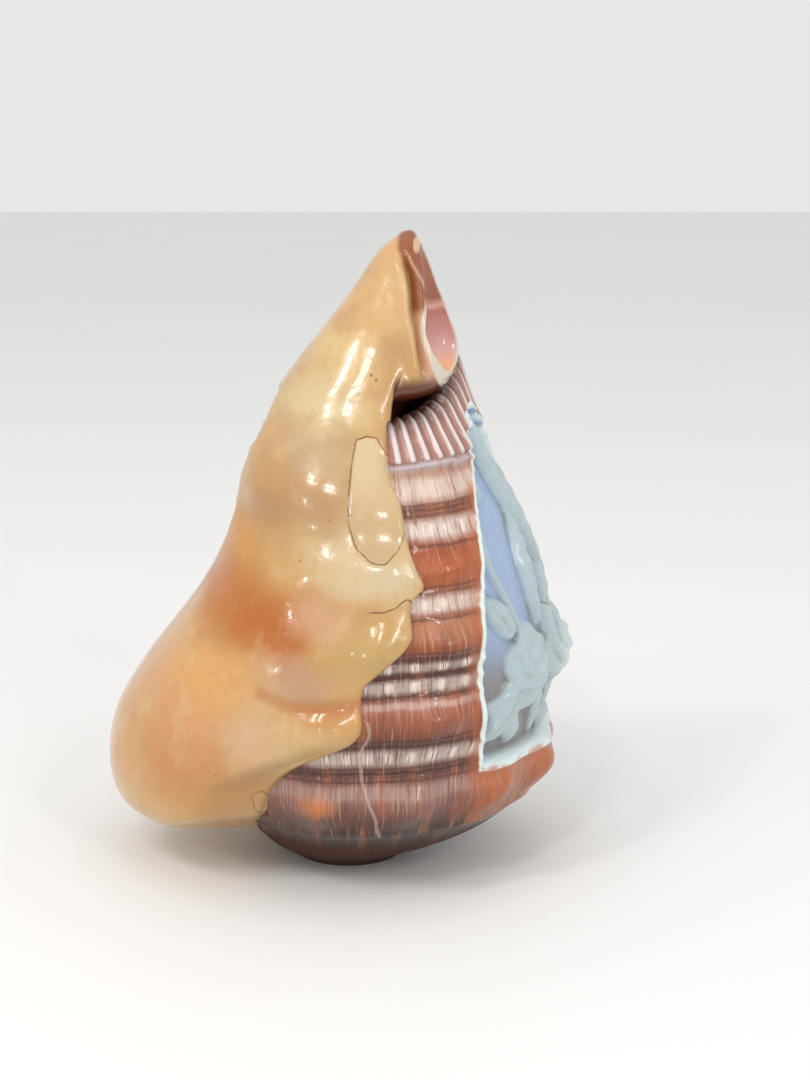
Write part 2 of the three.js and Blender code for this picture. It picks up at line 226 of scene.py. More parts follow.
# beaded cords: height of the row, half height, beads in a turn, how far they stand out
beadRows = [(37.2, 1.6, 53, 0.8), (53.4, 1.5, 44, 0.75), (57.6, 1.3, 44, 0.6), (70.6, 1.4, 52, 0.45),
            (86, 1.5, 52, 0.4)]


def beads(angle, band):
    return sum(bell(band - row, width) * (0.5 + 0.5 * np.cos(np.radians(angle * count))) ** 1.5
               for row, width, count, _ in beadRows)


# carving on the back
panelLeft = through([
    (28, -50.5), (34, -51), (40, -51.5), (53, -52.5), (66, -49.5), (76, -45.8), (84, -41.8), (90, -37.8),
    (98, -31), (104, -22), (110, -10)])
panelRight = through([(28, 40), (40, 44), (60, 44), (74, 40), (86, 32), (96, 22), (104, 10), (110, -4)])
panelBottom, panelTop, panelDepth, panelRim = 30.0, 109.0, 4.2, 2.0
panelScale = math.radians(1) * 42
# leaves: start angle, start height, tip angle, tip height, half width, relief, curl
leaves = [
    (-18, 108, 2, 70, 6.5, 3.6, 1.5), (-12, 84, -16, 58, 4, 3.4, -1), (-30, 50, -48, 35, 4.5, 3, 1.5),
    (-33, 58, -46, 68, 3.5, 2.6, -1), (8, 58, 12, 96, 6, 3.2, 2), (26, 54, 33, 80, 5, 3, -1.5),
    (26, 42, 38, 33, 4.5, 2.8, 1), (4, 42, 14, 32, 4.5, 2.8, 1), (-16, 44, -21, 33.5, 3.2, 2.4, 0.8),
    (-5, 82, -14, 98, 3.2, 2.6, -0.8)]
# blossoms: angle, height, radius, relief, turn
blossoms = [
    (-24, 50, 11, 4.4, 20), (1, 51, 11.5, 6.8, 50), (24, 47, 10.5, 4.2, 5), (-34, 37, 4.2, 2.6, 30),
    (-8, 36, 4.4, 3, 10)]
# stems: points of angle and height, with the half width
stems = [
    ([(-24, 50), (-30, 62), (-38, 74), (-37, 84), (-32, 90)], 0.9), ([(-38, 74), (-43, 79)], 0.7),
    ([(-12, 84), (-8, 92), (-16, 101), (-22, 102)], 0.9), ([(-24, 50), (-36, 46), (-44, 44)], 0.8),
    ([(1, 51), (4, 66), (6, 84), (0, 100)], 1.0), ([(24, 47), (32, 60), (36, 70)], 0.9),
    ([(-8, 36), (0, 40), (6, 44)], 0.8)]
# buds: angle, height, half width, half height, relief
buds = [
    (-31, 91, 2.6, 3.8, 2.4), (-43.5, 80, 1.9, 2.8, 1.9), (-24, 101.5, 1.8, 2.4, 1.6),
    (-45, 43, 1.9, 2.3, 1.9), (37, 72, 2.0, 3.0, 2.0)]


def leafRelief(x, z, startAngle, startZ, tipAngle, tipZ, halfWidth, height, curl):
    alongX, alongZ = (tipAngle - startAngle) * panelScale, tipZ - startZ
    length = math.hypot(alongX, alongZ)
    dx, dz = x - startAngle * panelScale, z - startZ
    s = (dx * alongX + dz * alongZ) / length ** 2
    inside = np.clip(s, 0, 1)
    across = (dx * alongZ - dz * alongX) / length + curl * np.sin(np.pi * inside)
    reach = halfWidth * np.sin(np.pi * inside ** 0.8) ** 0.7 + 1e-4
    q = np.clip(np.abs(across) / reach, 0, 1)
    side = np.where(across > 0, 1.0, 0.78)  # one half of the blade lies lower
    blade = height * side * np.sqrt(1 - 0.9 * q ** 2) - 0.9 * bell(across, 0.8) * (1 - q)
    veins = 0.3 * np.cos(2 * np.pi * (inside * length / 4.6 - q * 0.8))
    veins = veins * step(q, 0.1, 0.4) * step(1 - q, 0, 0.3)
    return np.where((s > 0) & (s < 1) & (q < 1), blade + veins, 0.0)


def blossomRelief(x, z, angle, centreZ, radius, height, start):
    dx, dz = x - angle * panelScale, z - centreZ
    out = np.hypot(dx, dz) / radius
    dome = height * (1 - 0.45 * np.clip(out, 0, 1.2) ** 2)
    total = np.zeros_like(dx)
    # outer petals, inner petals: length, half width, level, turn
    for reach, halfWidth, level, offset in [(1.0, 0.5, 0.8, 0), (0.6, 0.36, 1.0, 36)]:
        for k in range(5):
            way = math.radians(start + offset + 72 * k)
            along = (dx * math.cos(way) + dz * math.sin(way)) / (reach * radius)
            side = (-dx * math.sin(way) + dz * math.cos(way)) / radius
            width = halfWidth * np.sin(np.pi * np.clip(along, 0.001, 0.999) ** 0.72) ** 0.55
            tilt = np.clip(side / (width + 1e-4), -1, 1)  # each petal lies over the next
            cup = level * (0.78 + 0.2 * tilt + 0.08 * tilt ** 2)
            petal = dome * cup * step(along, 0.0, 0.1) * np.sqrt(np.clip(1 - along ** 6, 0, 1))
            total = np.maximum(total, np.where((along > 0) & (along < 1) & (np.abs(tilt) < 1), petal, 0.0))
    away = out / 0.18
    heart = height * (1.08 - 0.16 * away ** 2) + 0.2 * np.cos(dx * 3) * np.cos(dz * 3)
    return np.maximum(total, np.where(away < 1, heart, 0.0))


def stemRelief(x, z, points, halfWidth):
    away = np.full_like(x, 1e3)
    xs = [(a * panelScale, h) for a, h in points]
    for start, end in zip(xs, xs[1:]):
        away = np.minimum(away, fromSegment(x, z, *start, *end))
    return 1.7 * np.sqrt(np.clip(1 - (away / (halfWidth * 1.4)) ** 2, 0, 1))


def budRelief(x, z, angle, centreZ, halfWidth, halfHeight, height):
    dx, dz = x - angle * panelScale, z - centreZ
    away = np.hypot(dx / halfWidth, dz / halfHeight)
    bulge = height * np.sqrt(np.clip(1 - away ** 2, 0, 1))
    return bulge - 0.4 * bell(dx, 0.4) * (away < 0.9)


def insidePanel(angle, z):
    left = (angle - panelLeft(z)) * panelScale
    right = (panelRight(z) - angle) * panelScale
    return np.minimum(np.minimum(left, right), np.minimum(z - panelBottom, panelTop - z))


gridStep, gridLeft, gridLow = 0.25, -46, 24


def spray():  # the whole relief on a fine grid, with its edges softened
    x, z = np.meshgrid(np.arange(gridLeft, 40, gridStep), np.arange(gridLow, 114, gridStep))
    relief = np.zeros_like(x)
    for leaf in leaves:
        relief = np.maximum(relief, leafRelief(x, z, *leaf))
    for blossom in blossoms:
        relief = np.maximum(relief, blossomRelief(x, z, *blossom))
    for points, halfWidth in stems:
        relief = np.maximum(relief, stemRelief(x, z, points, halfWidth))
    for bud in buds:
        relief = np.maximum(relief, budRelief(x, z, *bud))
    soften = bell(np.arange(-8, 9) * gridStep, 0.6)
    soften /= soften.sum()
    for axis in (0, 1):
        relief = np.apply_along_axis(np.convolve, axis, relief, soften, "same")
    return relief


sprayGrid = spray()


def carving(angle, z):
    inside = insidePanel(angle, z)
    cut = step(inside, panelRim * 0.4, panelRim + 0.4)
    rows, columns = sprayGrid.shape
    column = np.clip((angle * panelScale - gridLeft) / gridStep, 0, columns - 2)
    row = np.clip((z - gridLow) / gridStep + 0 * angle, 0, rows - 2)
    i, j = row.astype(int), column.astype(int)
    lower = mix(sprayGrid[i, j], sprayGrid[i, j + 1], column - j)
    upper = mix(sprayGrid[i + 1, j], sprayGrid[i + 1, j + 1], column - j)
    return inside, cut, mix(lower, upper, row - i)


# meshes from rows and columns
materialNames = ["whorl", "carving", "callus", "inside", "scoop"]
shellMaterials = [bpy.data.materials.new(name) for name in materialNames]


def wrapped(name, x, y, z, slots, fields={}):
    # x, y, z are rows (top to bottom) by columns (anticlockwise); the first and last rows are poles
    rows, columns = x.shape
    ring = np.stack([x, y, z], -1)[1:-1].reshape(-1, 3)
    poles = [[part[end].mean() for part in (x, y, z)] for end in (0, -1)]
    points = np.vstack([ring, poles])
    inner = rows - 2
    j = np.arange(columns)
    k = (j + 1) % columns
    i = np.arange(inner - 1)[:, None] * columns
    quads = np.stack([i + j, i + columns + j, i + columns + k, i + k], -1).reshape(-1, 4)
    top, bottom = len(ring), len(ring) + 1
    topFan = np.stack([np.full(columns, top), j, k], -1)
    low = (inner - 1) * columns
    bottomFan = np.stack([low + j, np.full(columns, bottom), low + k], -1)
    mesh = bpy.data.meshes.new(name)
    mesh.from_pydata((points * mm).tolist(), [], quads.tolist() + topFan.tolist() + bottomFan.tolist())
    for material in shellMaterials:
        mesh.materials.append(material)
    faceSlots = np.concatenate([slots[1:-2].reshape(-1), slots[0], slots[-2]])
    mesh.polygons.foreach_set("material_index", faceSlots.astype(np.int32))
    carved = mesh.attributes.new("carved", "FLOAT", "FACE").data
    carved.foreach_set("value", (faceSlots == 1).astype(np.float32))
    mesh.update()
    for field, values in fields.items():
        row = np.concatenate([values[1:-1].reshape(-1), [0.0, 0.0]])
        mesh.attributes.new(field, "FLOAT", "POINT").data.foreach_set("value", row.astype(np.float32))
    return added(name, mesh)


def facesOutward(piece):
    mesh = piece.data
    corners = np.empty(len(mesh.vertices) * 3)
    mesh.vertices.foreach_get("co", corners)
    corners = corners.reshape(-1, 3)
    mesh.calc_loop_triangles()
    tris = np.empty(len(mesh.loop_triangles) * 3, np.int32)
    mesh.loop_triangles.foreach_get("vertices", tris)
    a, b, c = corners[tris.reshape(-1, 3)].transpose(1, 0, 2)
    if np.einsum("ij,ij->", a, np.cross(b, c)) < 0:
        mesh.flip_normals()
    return piece


# body whorl mesh
columnCounts = [6, 30, 34, 140, 12, 36, 10]  # under the callus, back, left, panel, right, far side, hidden
rightOfPanel = 48.0


def columnAngles(left, right):  # close together in the panel, between its left and right edge
    stops = [growthStart, -125.0, ribsFrom, left, right, rightOfPanel, growthEnd, growthStart + turn]
    return spread(list(zip(stops, columnCounts + [0])))


neckAngles = columnAngles(-51.2, 38.4)


def wallAngles(z):
    straight = columnAngles(float(panelLeft(z)) - 0.4, float(panelRight(z)) + 0.4)
    return mix(straight, neckAngles, float(step(z, neckBase - 14, neckBase - 2)))


navelDepth = through([(0, 1), (9, 0.85), (14, 0.35), (17.5, 0.04), (19.2, 0)])
undersideCurve = through([
    (0, -3), (11.2, -0.8), (15.4, 2.1), (20.5, 5), (26.8, 8.4), (33, 12.2), (37.4, 16), (39.6, 18)])
baseShift, coveredDepth, footCord = -4.0, 5.0, 1.1
pocketReaches = [0, 3, 6, 8, 10, 11.5, 13, 14.2, 15.4, 16.6, 17.8, 18.8]
neckRows, wallRows, undersideRows = 36, 158, 34


def finished(radius, angle, z, cut, relief):  # carved, and drawn back where the callus covers the wall
    radius = mix(radius, bodyRadius(angle, z) + 1.2 - panelDepth + relief, cut)
    return radius - coveredDepth * (1 - openShare(angle, z)) * step(z, 78, 94)


def whorlMesh():
    xs, ys, zs, slots = [], [], [], []
    fields = {"angle": [], "band": [], "beadShare": [], "ribShare": []}

    def addRow(angle, radius, z, shift, slot, band, beadShare, ribShare):
        xs.append(radius * np.cos(np.radians(angle)) + shift + axisX)
        ys.append(radius * np.sin(np.radians(angle)) + axisY)
        zs.append(z + 0 * radius)
        slots.append(slot)
        for field, values in zip(fields, (angle, band, beadShare, ribShare)):
            fields[field].append(values + 0 * radius)

    neck = neckStretch(neckAngles)
    crestZ = neckBase + (neckCrest - neckBase) * neck
    plain = np.zeros(len(neckAngles), int)
    for reach in pocketReaches:  # the pocket behind the neck
        radius = reach * growth(neckAngles, neckCrest)
        z = mix(crestZ, hollowFloor, navelDepth(reach))
        addRow(neckAngles, radius, z, 0, plain, 120.0, 0.0, step(reach, 9, 14))
    for high in np.linspace(neckCrest, neckBase, neckRows, endpoint=False):  # the ribbed neck
        angle = neckAngles
        up = (high - neckBase) / (neckCrest - neckBase)
        z = neckBase + (high - neckBase) * neck + bandRise(angle) * (1 - up)
        radius = wallRadius(high) * growth(angle, high) + footCord * bell(high - neckBase - 0.6, 0.9)
        inside, cut, relief = carving(angle, z)
        radius = finished(radius, angle, z, cut, relief)
        addRow(angle, radius, z, 0, np.where(inside > 0, 1, 0), high, 0.0, (1 - cut) * step(up, 0.06, 0.14))
    for high in np.linspace(neckBase, shoulder, wallRows):  # the wall
        angle = wallAngles(high)
        z = high + bandRise(angle)
        sculpture = (knobs(angle, high) + cords(high)) * openShare(angle, z) * (1 - step(angle, 98, 110))
        radius = wallRadius(high) * growth(angle, high) + sculpture
        radius = radius + footCord * bell(high - neckBase - 0.6, 0.9)
        inside, cut, relief = carving(angle, z)
        radius = radius + 0.5 * step(inside, -1.5, 0) * (1 - cut)  # raised edge of the panel
        radius = finished(radius, angle, z, cut, relief)
        addRow(angle, radius, z, 0, np.where(inside > 0, 1, 0), high, openShare(angle, z) * (1 - cut), 0.0)
    for reach in np.concatenate([np.linspace(39.6, 11, undersideRows), [5.5, 0]]):  # the underside
        low = float(undersideCurve(reach))
        angle = wallAngles(low)
        outer = step(reach, 8, 34)
        z = low + bandRise(angle) * outer
        sculpture = (knobs(angle, low) + cords(low)) * openShare(angle, z)
        radius = reach * mix(1.0, growth(angle, z), outer) + outer * sculpture
        addRow(angle, radius, z, baseShift * (1 - float(step(reach, 12, 38))), plain, low, 0.0, 0.0)
    fields = {field: np.array(values) for field, values in fields.items()}
    return wrapped("whorl", np.array(xs), np.array(ys), np.array(zs), np.array(slots), fields)


whorl = whorlMesh()
print("whorl", len(whorl.data.polygons))

# callus shield, outer lip and spout
spoutX = through([(100, 0), (112, 1.5), (119, 4), (125, 5.5), (136, 8), (144, 9.6), (148, 10.5)])
spoutY = through([(100, 0), (112, 0.5), (122, 2), (148, 1)])
ventralReach = through([
    (6, 53), (14, 58.5), (24, 61), (36, 59), (48, 52), (58, 44.5), (66, 38.6), (75, 33.6), (84, 30.4),
    (92, 29), (99, 26.8), (107, 22.8), (114, 18.6), (122, 12.5), (131, 5.4), (138, 0.4), (144, -3.5),
    (147, -6.5)])
parietalReach = through([
    (6, 34), (14, 38), (24, 40.5), (40, 42), (55, 40.5), (70, 37.5), (82, 33.5), (92, 28.5), (100, 23.5),
    (108, 19), (114, 16.5), (122, 13), (131, 10), (138, 8), (144, 6), (147, 3.5)])
lipReach = through([
    (6, 34), (14, 44), (24, 53), (36, 59), (50, 60.5), (64, 57), (78, 50), (90, 42), (100, 34), (110, 26),
    (120, 19), (131, 12.5), (138, 9.5), (144, 7), (147, 4.5)])
dorsalReach = through([
    (90, 8), (104, 8), (109, 12), (111, 17), (113, 19.4), (117, 21.2), (122, 21.6), (129, 19.4),
    (135.5, 16.8), (143, 14.2), (147, 13)])
lipBack = through([(6, 135), (20, 118), (50, 108), (80, 106), (100, 100), (110, 85)])
slotAngle = through([(16, 158), (40, 164), (70, 168), (95, 172), (112, 176)])
slotWidth = through([(14, 0), (22, 7), (40, 10.5), (80, 10), (104, 8), (113, 0)])
slotDepth, slotSink, slotReach, calloThickness = 16.0, 2.2, 12, 1.3
toothStep, toothHeight, firstTooth, lastTooth = 6.0, 2.0, 21.0, 106.0


def roundedReach(angle, ahead, left, behind, right, fullness):
    c, s = np.cos(np.radians(angle)), np.sin(np.radians(angle))
    alongX = np.abs(c) / np.where(c > 0, ahead, behind)
    alongY = np.abs(s) / np.where(s > 0, left, right)
    return (alongX ** fullness + alongY ** fullness) ** (-1 / fullness)


def smoothLarger(a, b, soft):
    blend = step(0.5 + (a - b) / (2 * soft), 0, 1)
    return mix(b, a, blend) + soft * blend * (1 - blend) * 0.5


def frontRadius(angle, z):
    x, y = spoutX(z), spoutY(z)
    sides = (mix(15, dorsalReach(z) - x, step(z, 108, 112)), np.maximum(lipReach(z) - y, 0.8),
             np.maximum(ventralReach(z) + x, 1), np.maximum(parietalReach(z) + y, 0.8))
    outer = np.where(angle < 180, roundedReach(angle, *sides, 2.35), roundedReach(angle, *sides, 2.1))
    below = angle - turn
    draped = knobs(below, z - bandRise(below)) * step(angle - calloEdge(z), -30, -2)
    onBody = bodyRadius(below, z) + 0.85 * draped + calloThickness
    clinging = step(angle - calloEdge(z), -15, -1) * (1 - step(z, 84, 96))
    sunk = onBody - 16 * step(z, 86, 108) - 12 * step(z, 114, 128)
    shield = mix(smoothLarger(outer, sunk, 2), onBody + 0.8, clinging)
    return np.where(angle < 180, outer, shield)


# soft swells and hollows of the callus seen from the front: x, height, half width, half height, rise
calloSwells = [
    (-8, 95, 13, 11, 1.6), (-16, 84, 20, 5.5, -1.7), (8, 77, 11, 4.5, 1.0), (12.5, 61, 7, 8, 1.3),
    (-9, 54, 9, 6, 0.9), (-2, 39.5, 13, 4.5, 1.2), (-32, 52, 16, 12, 0.8), (-2, 68, 8, 4, -0.7),
    (-16, 63, 10, 7, -0.6), (14, 134, 5, 9, 0.7)]
creaseLine = [(8.5, 50.4), (5, 48.4), (1.3, 47.3), (-4, 46.6), (-10.2, 47.2), (-16, 49.5)]
lobeLine = [(6.3, 64.5), (4.6, 60), (1.8, 55.5), (-1.5, 51.5)]
gullyX = through([
    (114, 20.6), (117.9, 19.7), (121.9, 19.0), (125.6, 18.5), (129.4, 17.6), (132, 17.4), (134.8, 17.2),
    (138.4, 16.5), (141.4, 15.5), (144, 14.4)])


def lineDistance(x, z, points, closed=False):
    # distance in mm seen from the front, below 0 on the left of the line or inside a closed one
    nearest, side = np.full_like(x, 1e3), np.ones_like(x)
    pairs = list(zip(points, points[1:] + points[:1]))
    for (x0, z0), (x1, z1) in pairs if closed else pairs[:-1]:
        away = fromSegment(x, z, x0, z0, x1, z1)
        cross = (x1 - x0) * (z - z0) - (z1 - z0) * (x - x0)
        side = np.where(away < nearest, np.where(cross > 0, -1.0, 1.0), side)
        nearest = np.minimum(nearest, away)
    if closed:
        inside = np.zeros(x.shape, bool)
        for (x0, z0), (x1, z1) in pairs:
            inside ^= ((z0 > z) != (z1 > z)) & (x < x0 + (z - z0) * (x1 - x0) / (z1 - z0 + 1e-9))
        side = np.where(inside, -1.0, 1.0)
    return nearest * side


patchLine = [
    (4.6, 103.1), (7, 103.9), (9.2, 103.5), (11.9, 99.2), (14.3, 94.4), (15.8, 89), (15.8, 84.9), (14, 80.9),
    (11.2, 78.2), (8.3, 78.4), (4.8, 81.2), (3.1, 85.9), (3.1, 91.9), (3.7, 98)]
ledgeLine = [(8.3, 68), (10.9, 68.2), (13.3, 68.9), (15.1, 70.4), (16.1, 71), (17.2, 69.5), (17.9, 66.8)]


def calloForm(x, z, fromEdge):  # fromEdge is in degrees
    form = sum(rise * np.exp(-((x - cx) / w) ** 2 - ((z - cz) / h) ** 2)
               for cx, cz, w, h, rise in calloSwells)
    ripple = 0.12 * np.sin(x / 4.9 + z / 8.1) * np.sin(z / 6.3 - x / 9.7 + 1.3)
    zFull = np.full_like(x, z)
    lines = -1.4 * bell(lineDistance(x, zFull, creaseLine), 2.0) * step(x, -17, -4)
    lines = lines - 0.4 * bell(lineDistance(x, zFull, lobeLine), 1.6)
    inPatch = step(-lineDistance(x, zFull, patchLine, True), 0, 0.6)
    ledge = lineDistance(x, zFull, ledgeLine)
    below = step(ledge, 0, 0.7) * (1 - step(ledge, 2.0, 4.5))
    form = (form + ripple) * step(fromEdge, 0, 12)
    return form + lines * step(fromEdge, 1, 6) - 0.35 * inPatch - 0.3 * below


def spoutForm(x, z):
    away = x - gullyX(z)
    tall = step(z, 114.5, 118) * (1 - step(z, 139.5, 144.5))
    return (-2.3 * bell(away, 0.75) + 0.9 * bell(away + 2.0, 1.3) + 0.55 * bell(away - 1.6, 0.8)) * tall


calloLip, lipRound, lipDrop = 1.2, 1.7, 1.5
frontRows = np.concatenate([
    [148, 147.93, 147.75, 147.45, 147, 146.4, 145.7], np.linspace(144.9, 18, 134),
    [16.4, 15.4, 14.6, 13.8, 13, 12.2, 11.4, 10.6, 10.1, 9.8, 9.6, 9.6]])
# how far the front narrows towards its rounded ends
frontShrink = through([
    (9.55, 0.0), (9.6, 0.7), (9.8, 0.79), (10.6, 0.87), (12.2, 0.94), (14.6, 0.985), (18, 1), (139, 1),
    (142, 0.97), (144, 0.91), (145.7, 0.8), (147, 0.6), (147.7, 0.36), (148, 0)])


def frontMesh():
    xs, ys, zs, slots = [], [], [], []
    shrinks = frontShrink(frontRows)
    shrinks[-2:] = [0.5, 0]
    for z, shrink in zip(frontRows, shrinks):
        back, slot, edge = float(lipBack(z)), float(slotAngle(z)), float(calloEdge(z))
        opened = float(slotWidth(z))
        half = math.degrees((opened / 2 + 0.4) / max(float(frontRadius(slot, z)), 6))
        stops = [
            (back - 7, 2), (back, 3), (back + 3, 34), (slot - half - 5, 5), (slot - half - 0.5, 3),
            (slot - half * 0.75, 6), (slot + half * 0.75, 3), (slot + half + 0.5, 5),
            (slot + half + 5, 104), (edge - calloLip - 3, 10), (edge - calloLip, 3), (edge + calloLip, 70),
            (edge + 62, 20), (back + turn - 7, 0)]
        angle = spread(stops)
        radius = frontRadius(angle, max(z, 8.0))
        number = np.arange(len(angle))
        last = sum(count for _, count in stops[:10])
        front = (number >= 2) & (number <= last)
        arc = np.radians(radius) * (edge - calloLip - angle)
        rounding = 1 - np.sqrt(1 - (1 - np.clip(arc / lipRound, 0, 1)) ** 2)
        radius = radius - lipDrop * rounding * front * (1 - step(z, 112, 118))
        pillar = float(dorsalReach(z) - spoutX(z))  # behind the front, inside the whorl
        radius = np.where(front, radius, mix(pillar, radius, float(step(z, 110, 116))))
        away = np.abs(angle - slot) * np.radians(radius)
        inner = np.zeros(len(angle), bool)
        if opened > 1:  # the mouth slot, sunk and toothed along both edges
            near = away < slotReach
            sunk = slotSink * (1 - step(away, opened / 2 + 1, opened / 2 + 6))
            radius = radius - np.where(near, sunk, 0)
            if firstTooth - 2 < z < lastTooth:
                gap = (1 - math.cos(2 * math.pi * (z - firstTooth) / toothStep)) / 2
                radius = radius - np.where(near, toothHeight * gap * (1 - step(away, 8, slotReach)), 0)
            inner = away < opened / 2
            radius = radius - np.where(inner, slotDepth, 0)
        c, s = np.cos(np.radians(angle)), np.sin(np.radians(angle))
        seenX = radius * c + spoutX(z) + axisX
        facing = step(-s, 0.15, 0.5)  # 1 on the side with the callus
        radius = radius + calloForm(seenX, z, edge - angle) * facing * front * (1 - step(z, 120, 140))
        radius = radius + spoutForm(seenX, z) * facing
        xs.append(shrink * radius * c + spoutX(z) + axisX)
        ys.append(shrink * radius * s + spoutY(z) + axisY)
        zs.append(np.full(len(angle), z))
        slots.append(np.where(inner | np.roll(inner, -1), 3, 2))
    return wrapped("front", np.array(xs), np.array(ys), np.array(zs), np.array(slots))


front = frontMesh()
print("front", len(front.data.polygons))


# the hollow, the canal and its open end
# angle, width as a share of the full one, half height
hollowAt = [
    (178, 0, 30), (177, 0.7, 38), (170, 1, 41), (150, 1, 41), (125, 1, 40), (95, 1, 39), (65, 1, 37),
    (35, 1, 35), (5, 1, 33), (-25, 0.95, 31), (-55, 0.85, 28), (-80, 0.65, 24), (-96, 0.4, 18), (-104, 0, 12)]
hollowShare = through([(-a, share) for a, share, _ in hollowAt])
hollowHalf = through([(-a, half) for a, _, half in hollowAt])
hollowMiddle, whorlWall, mouthWall, pillarRadius = 58, 8.5, 11, 9


def hollowMesh():
    xs, ys, zs = [], [], []
    around = np.linspace(0, 2 * np.pi, 40, endpoint=False)
    out = np.cos(around)
    for angle in np.concatenate([[178, 177.4, 176.2, 174], np.linspace(170, -96, 60), [-99, -102, -104]]):
        share = 0.0 if angle in (178, -104) else float(hollowShare(-angle))
        z = hollowMiddle + share * float(hollowHalf(-angle)) * np.sin(around)
        outer = mix(bodyRadius(min(angle, growthEnd), z) - whorlWall,
                    frontRadius(slotAngle(z), z) - mouthWall, float(step(angle, 118, 165)))
        middle = (pillarRadius + outer) / 2
        radius = middle + share * (outer - middle) * np.sign(out) * np.abs(out) ** 0.7
        if share == 0:
            radius = np.full(len(around), float(np.mean(middle)))
        xs.append(radius * math.cos(math.radians(angle)) + axisX)
        ys.append(radius * math.sin(math.radians(angle)) + axisY)
        zs.append(z)
    shape = np.array(xs).shape
    return facesOutward(wrapped("hollow", np.array(xs), np.array(ys), np.array(zs), np.full(shape, 3)))


def bored(name, stops, sides, rings, slot):  # stops are x, y, z and radius
    share = np.linspace(0, 1, len(stops))
    path = [through(list(zip(share, [stop[k] for stop in stops]))) for k in range(4)]
    at = np.linspace(0, 1, rings)
    centre = np.stack([path[k](at) for k in range(3)], -1)
    width = path[3](at)
    width[0] = width[-1] = 0
    heading = np.gradient(centre, axis=0)
    heading /= np.linalg.norm(heading, axis=1)[:, None]
    sideways = np.cross(heading, [0, 1, 0])
    sideways /= np.linalg.norm(sideways, axis=1)[:, None]
    across = np.cross(heading, sideways)
    around = np.linspace(0, 2 * np.pi, sides, endpoint=False)[None, :, None]
    ring = sideways[:, None] * np.cos(around) + across[:, None] * np.sin(around)
    points = centre[:, None] + width[:, None, None] * ring + [axisX, axisY, 0]
    return facesOutward(wrapped(name, *points.transpose(2, 0, 1), np.full(points.shape[:2], slot)))


# ribs and beads: a geometry nodes tree that raises them from the whorl
raisedParts = {
    "Ribs per Turn": ribsPerTurn, "Rib Height": 0.9, "Rib Width": 0.27, "Bead Height": 1.0,
    "Unevenness": 0.35}


def applied(piece):  # the piece with its modifiers worked in
    depsgraph = bpy.context.evaluated_depsgraph_get()
    mesh = bpy.data.meshes.new_from_object(piece.evaluated_get(depsgraph))
    piece.modifiers.clear()
    piece.data = mesh
    return piece


def ribsAndBeads(piece):
    group = bpy.data.node_groups.new("ribsAndBeads", "GeometryNodeTree")
    face = group.interface
    face.new_socket(name="Geometry", in_out="INPUT", socket_type="NodeSocketGeometry")
    for name, amount in raisedParts.items():
        face.new_socket(name=name, in_out="INPUT", socket_type="NodeSocketFloat").default_value = amount
    face.new_socket(name="Geometry", in_out="OUTPUT", socket_type="NodeSocketGeometry")
    tree = Tree(group)
    given = group.nodes.new("NodeGroupInput")
    value = {socket.name: Wire(tree, socket) for socket in given.outputs if socket.name}

    def field(name):
        return tree.node("GeometryNodeInputNamedAttribute", {"data_type": "FLOAT"}, {"Name": name})

    def hump(distance, width):
        return ((distance / width).math("POWER", 2.0) * -1.0).math("EXPONENT")

    angle, band = field("angle"), field("band")
    phase = (angle - ribsFrom) * value["Ribs per Turn"] / turn
    ribs = hump(phase - phase.math("ROUND"), value["Rib Width"]) * value["Rib Height"] * field("ribShare")
    swells = reduce(add, (
        ((angle * math.radians(count)).math("COSINE") * 0.5 + 0.5).math("POWER", 1.5) * height
        * hump(band - row, width) for row, width, count, height in beadRows))
    uneven = tree.node("ShaderNodeTexNoise", {}, {"Scale": 90.0, "Detail": 1.0})
    uneven = uneven * value["Unevenness"] * 2.0 + 1.0 - value["Unevenness"]
    swells = swells * value["Bead Height"] * field("beadShare") * uneven
    sockets = {0: tree.node("GeometryNodeInputNormal"), "Scale": (ribs + swells) * mm}
    offset = tree.node("ShaderNodeVectorMath", {"operation": "SCALE"}, sockets)
    raised = tree.node("GeometryNodeSetPosition", {}, {"Geometry": value["Geometry"], "Offset": offset})
    whole = tree.node("GeometryNodeRealizeInstances", {}, {"Geometry": raised})
    for number, material in enumerate(shellMaterials[:2]):
        chosen = field("carved").math("COMPARE", float(number), 0.5)
        sockets = {"Geometry": whole, "Selection": chosen, "Material": material}
        whole = tree.node("GeometryNodeSetMaterial", {}, sockets)
    end = group.nodes.new("NodeGroupOutput")
    tree.links.new(whole.socket, end.inputs[0])

    change = piece.modifiers.new("ribs and beads", "NODES")
    change.node_group = group
    for socket in face.items_tree:
        if socket.in_out == "INPUT" and socket.name in raisedParts:
            change[socket.identifier] = raisedParts[socket.name]
    return applied(piece)


whorl = ribsAndBeads(whorl)
print("ribs and beads", [material.name for material in whorl.data.materials])

hollow = hollowMesh()
canalStops = [(-20, 5, 92, 4), (-11, 3, 106, 4.2), (-2, -1, 116, 4), (6, -4, 122, 3), (14, -4.5, 124, 2.4)]
canal = bored("canal", canalStops, 28, 50, 3)
scoopStops = [
    (21.5, -7, 115.6, 0.6), (21, -7, 117.4, 2.4), (20.4, -7, 120, 4.4), (19.9, -7, 123, 5.9),
    (19.4, -7, 126.5, 6.2), (18.6, -6, 131, 4.8), (16.4, -4.5, 139, 3.2), (14.4, -3, 148, 2)]
scoop = bored("scoop", scoopStops, 40, 60, 4)

bpy.ops.mesh.primitive_cube_add(size=0.2, location=(0, 0, -0.1))
table = bpy.context.object  # cuts the flat patch that the shell stands on
for material in shellMaterials:
    table.data.materials.append(material)


def joined(target, other, operation):
    change = target.modifiers.new(operation.lower(), "BOOLEAN")
    change.operation = operation
    change.solver = "MANIFOLD"
    change.material_mode = "TRANSFER"
    change.object = other
    applied(target)
    bpy.data.objects.remove(other)
    return target


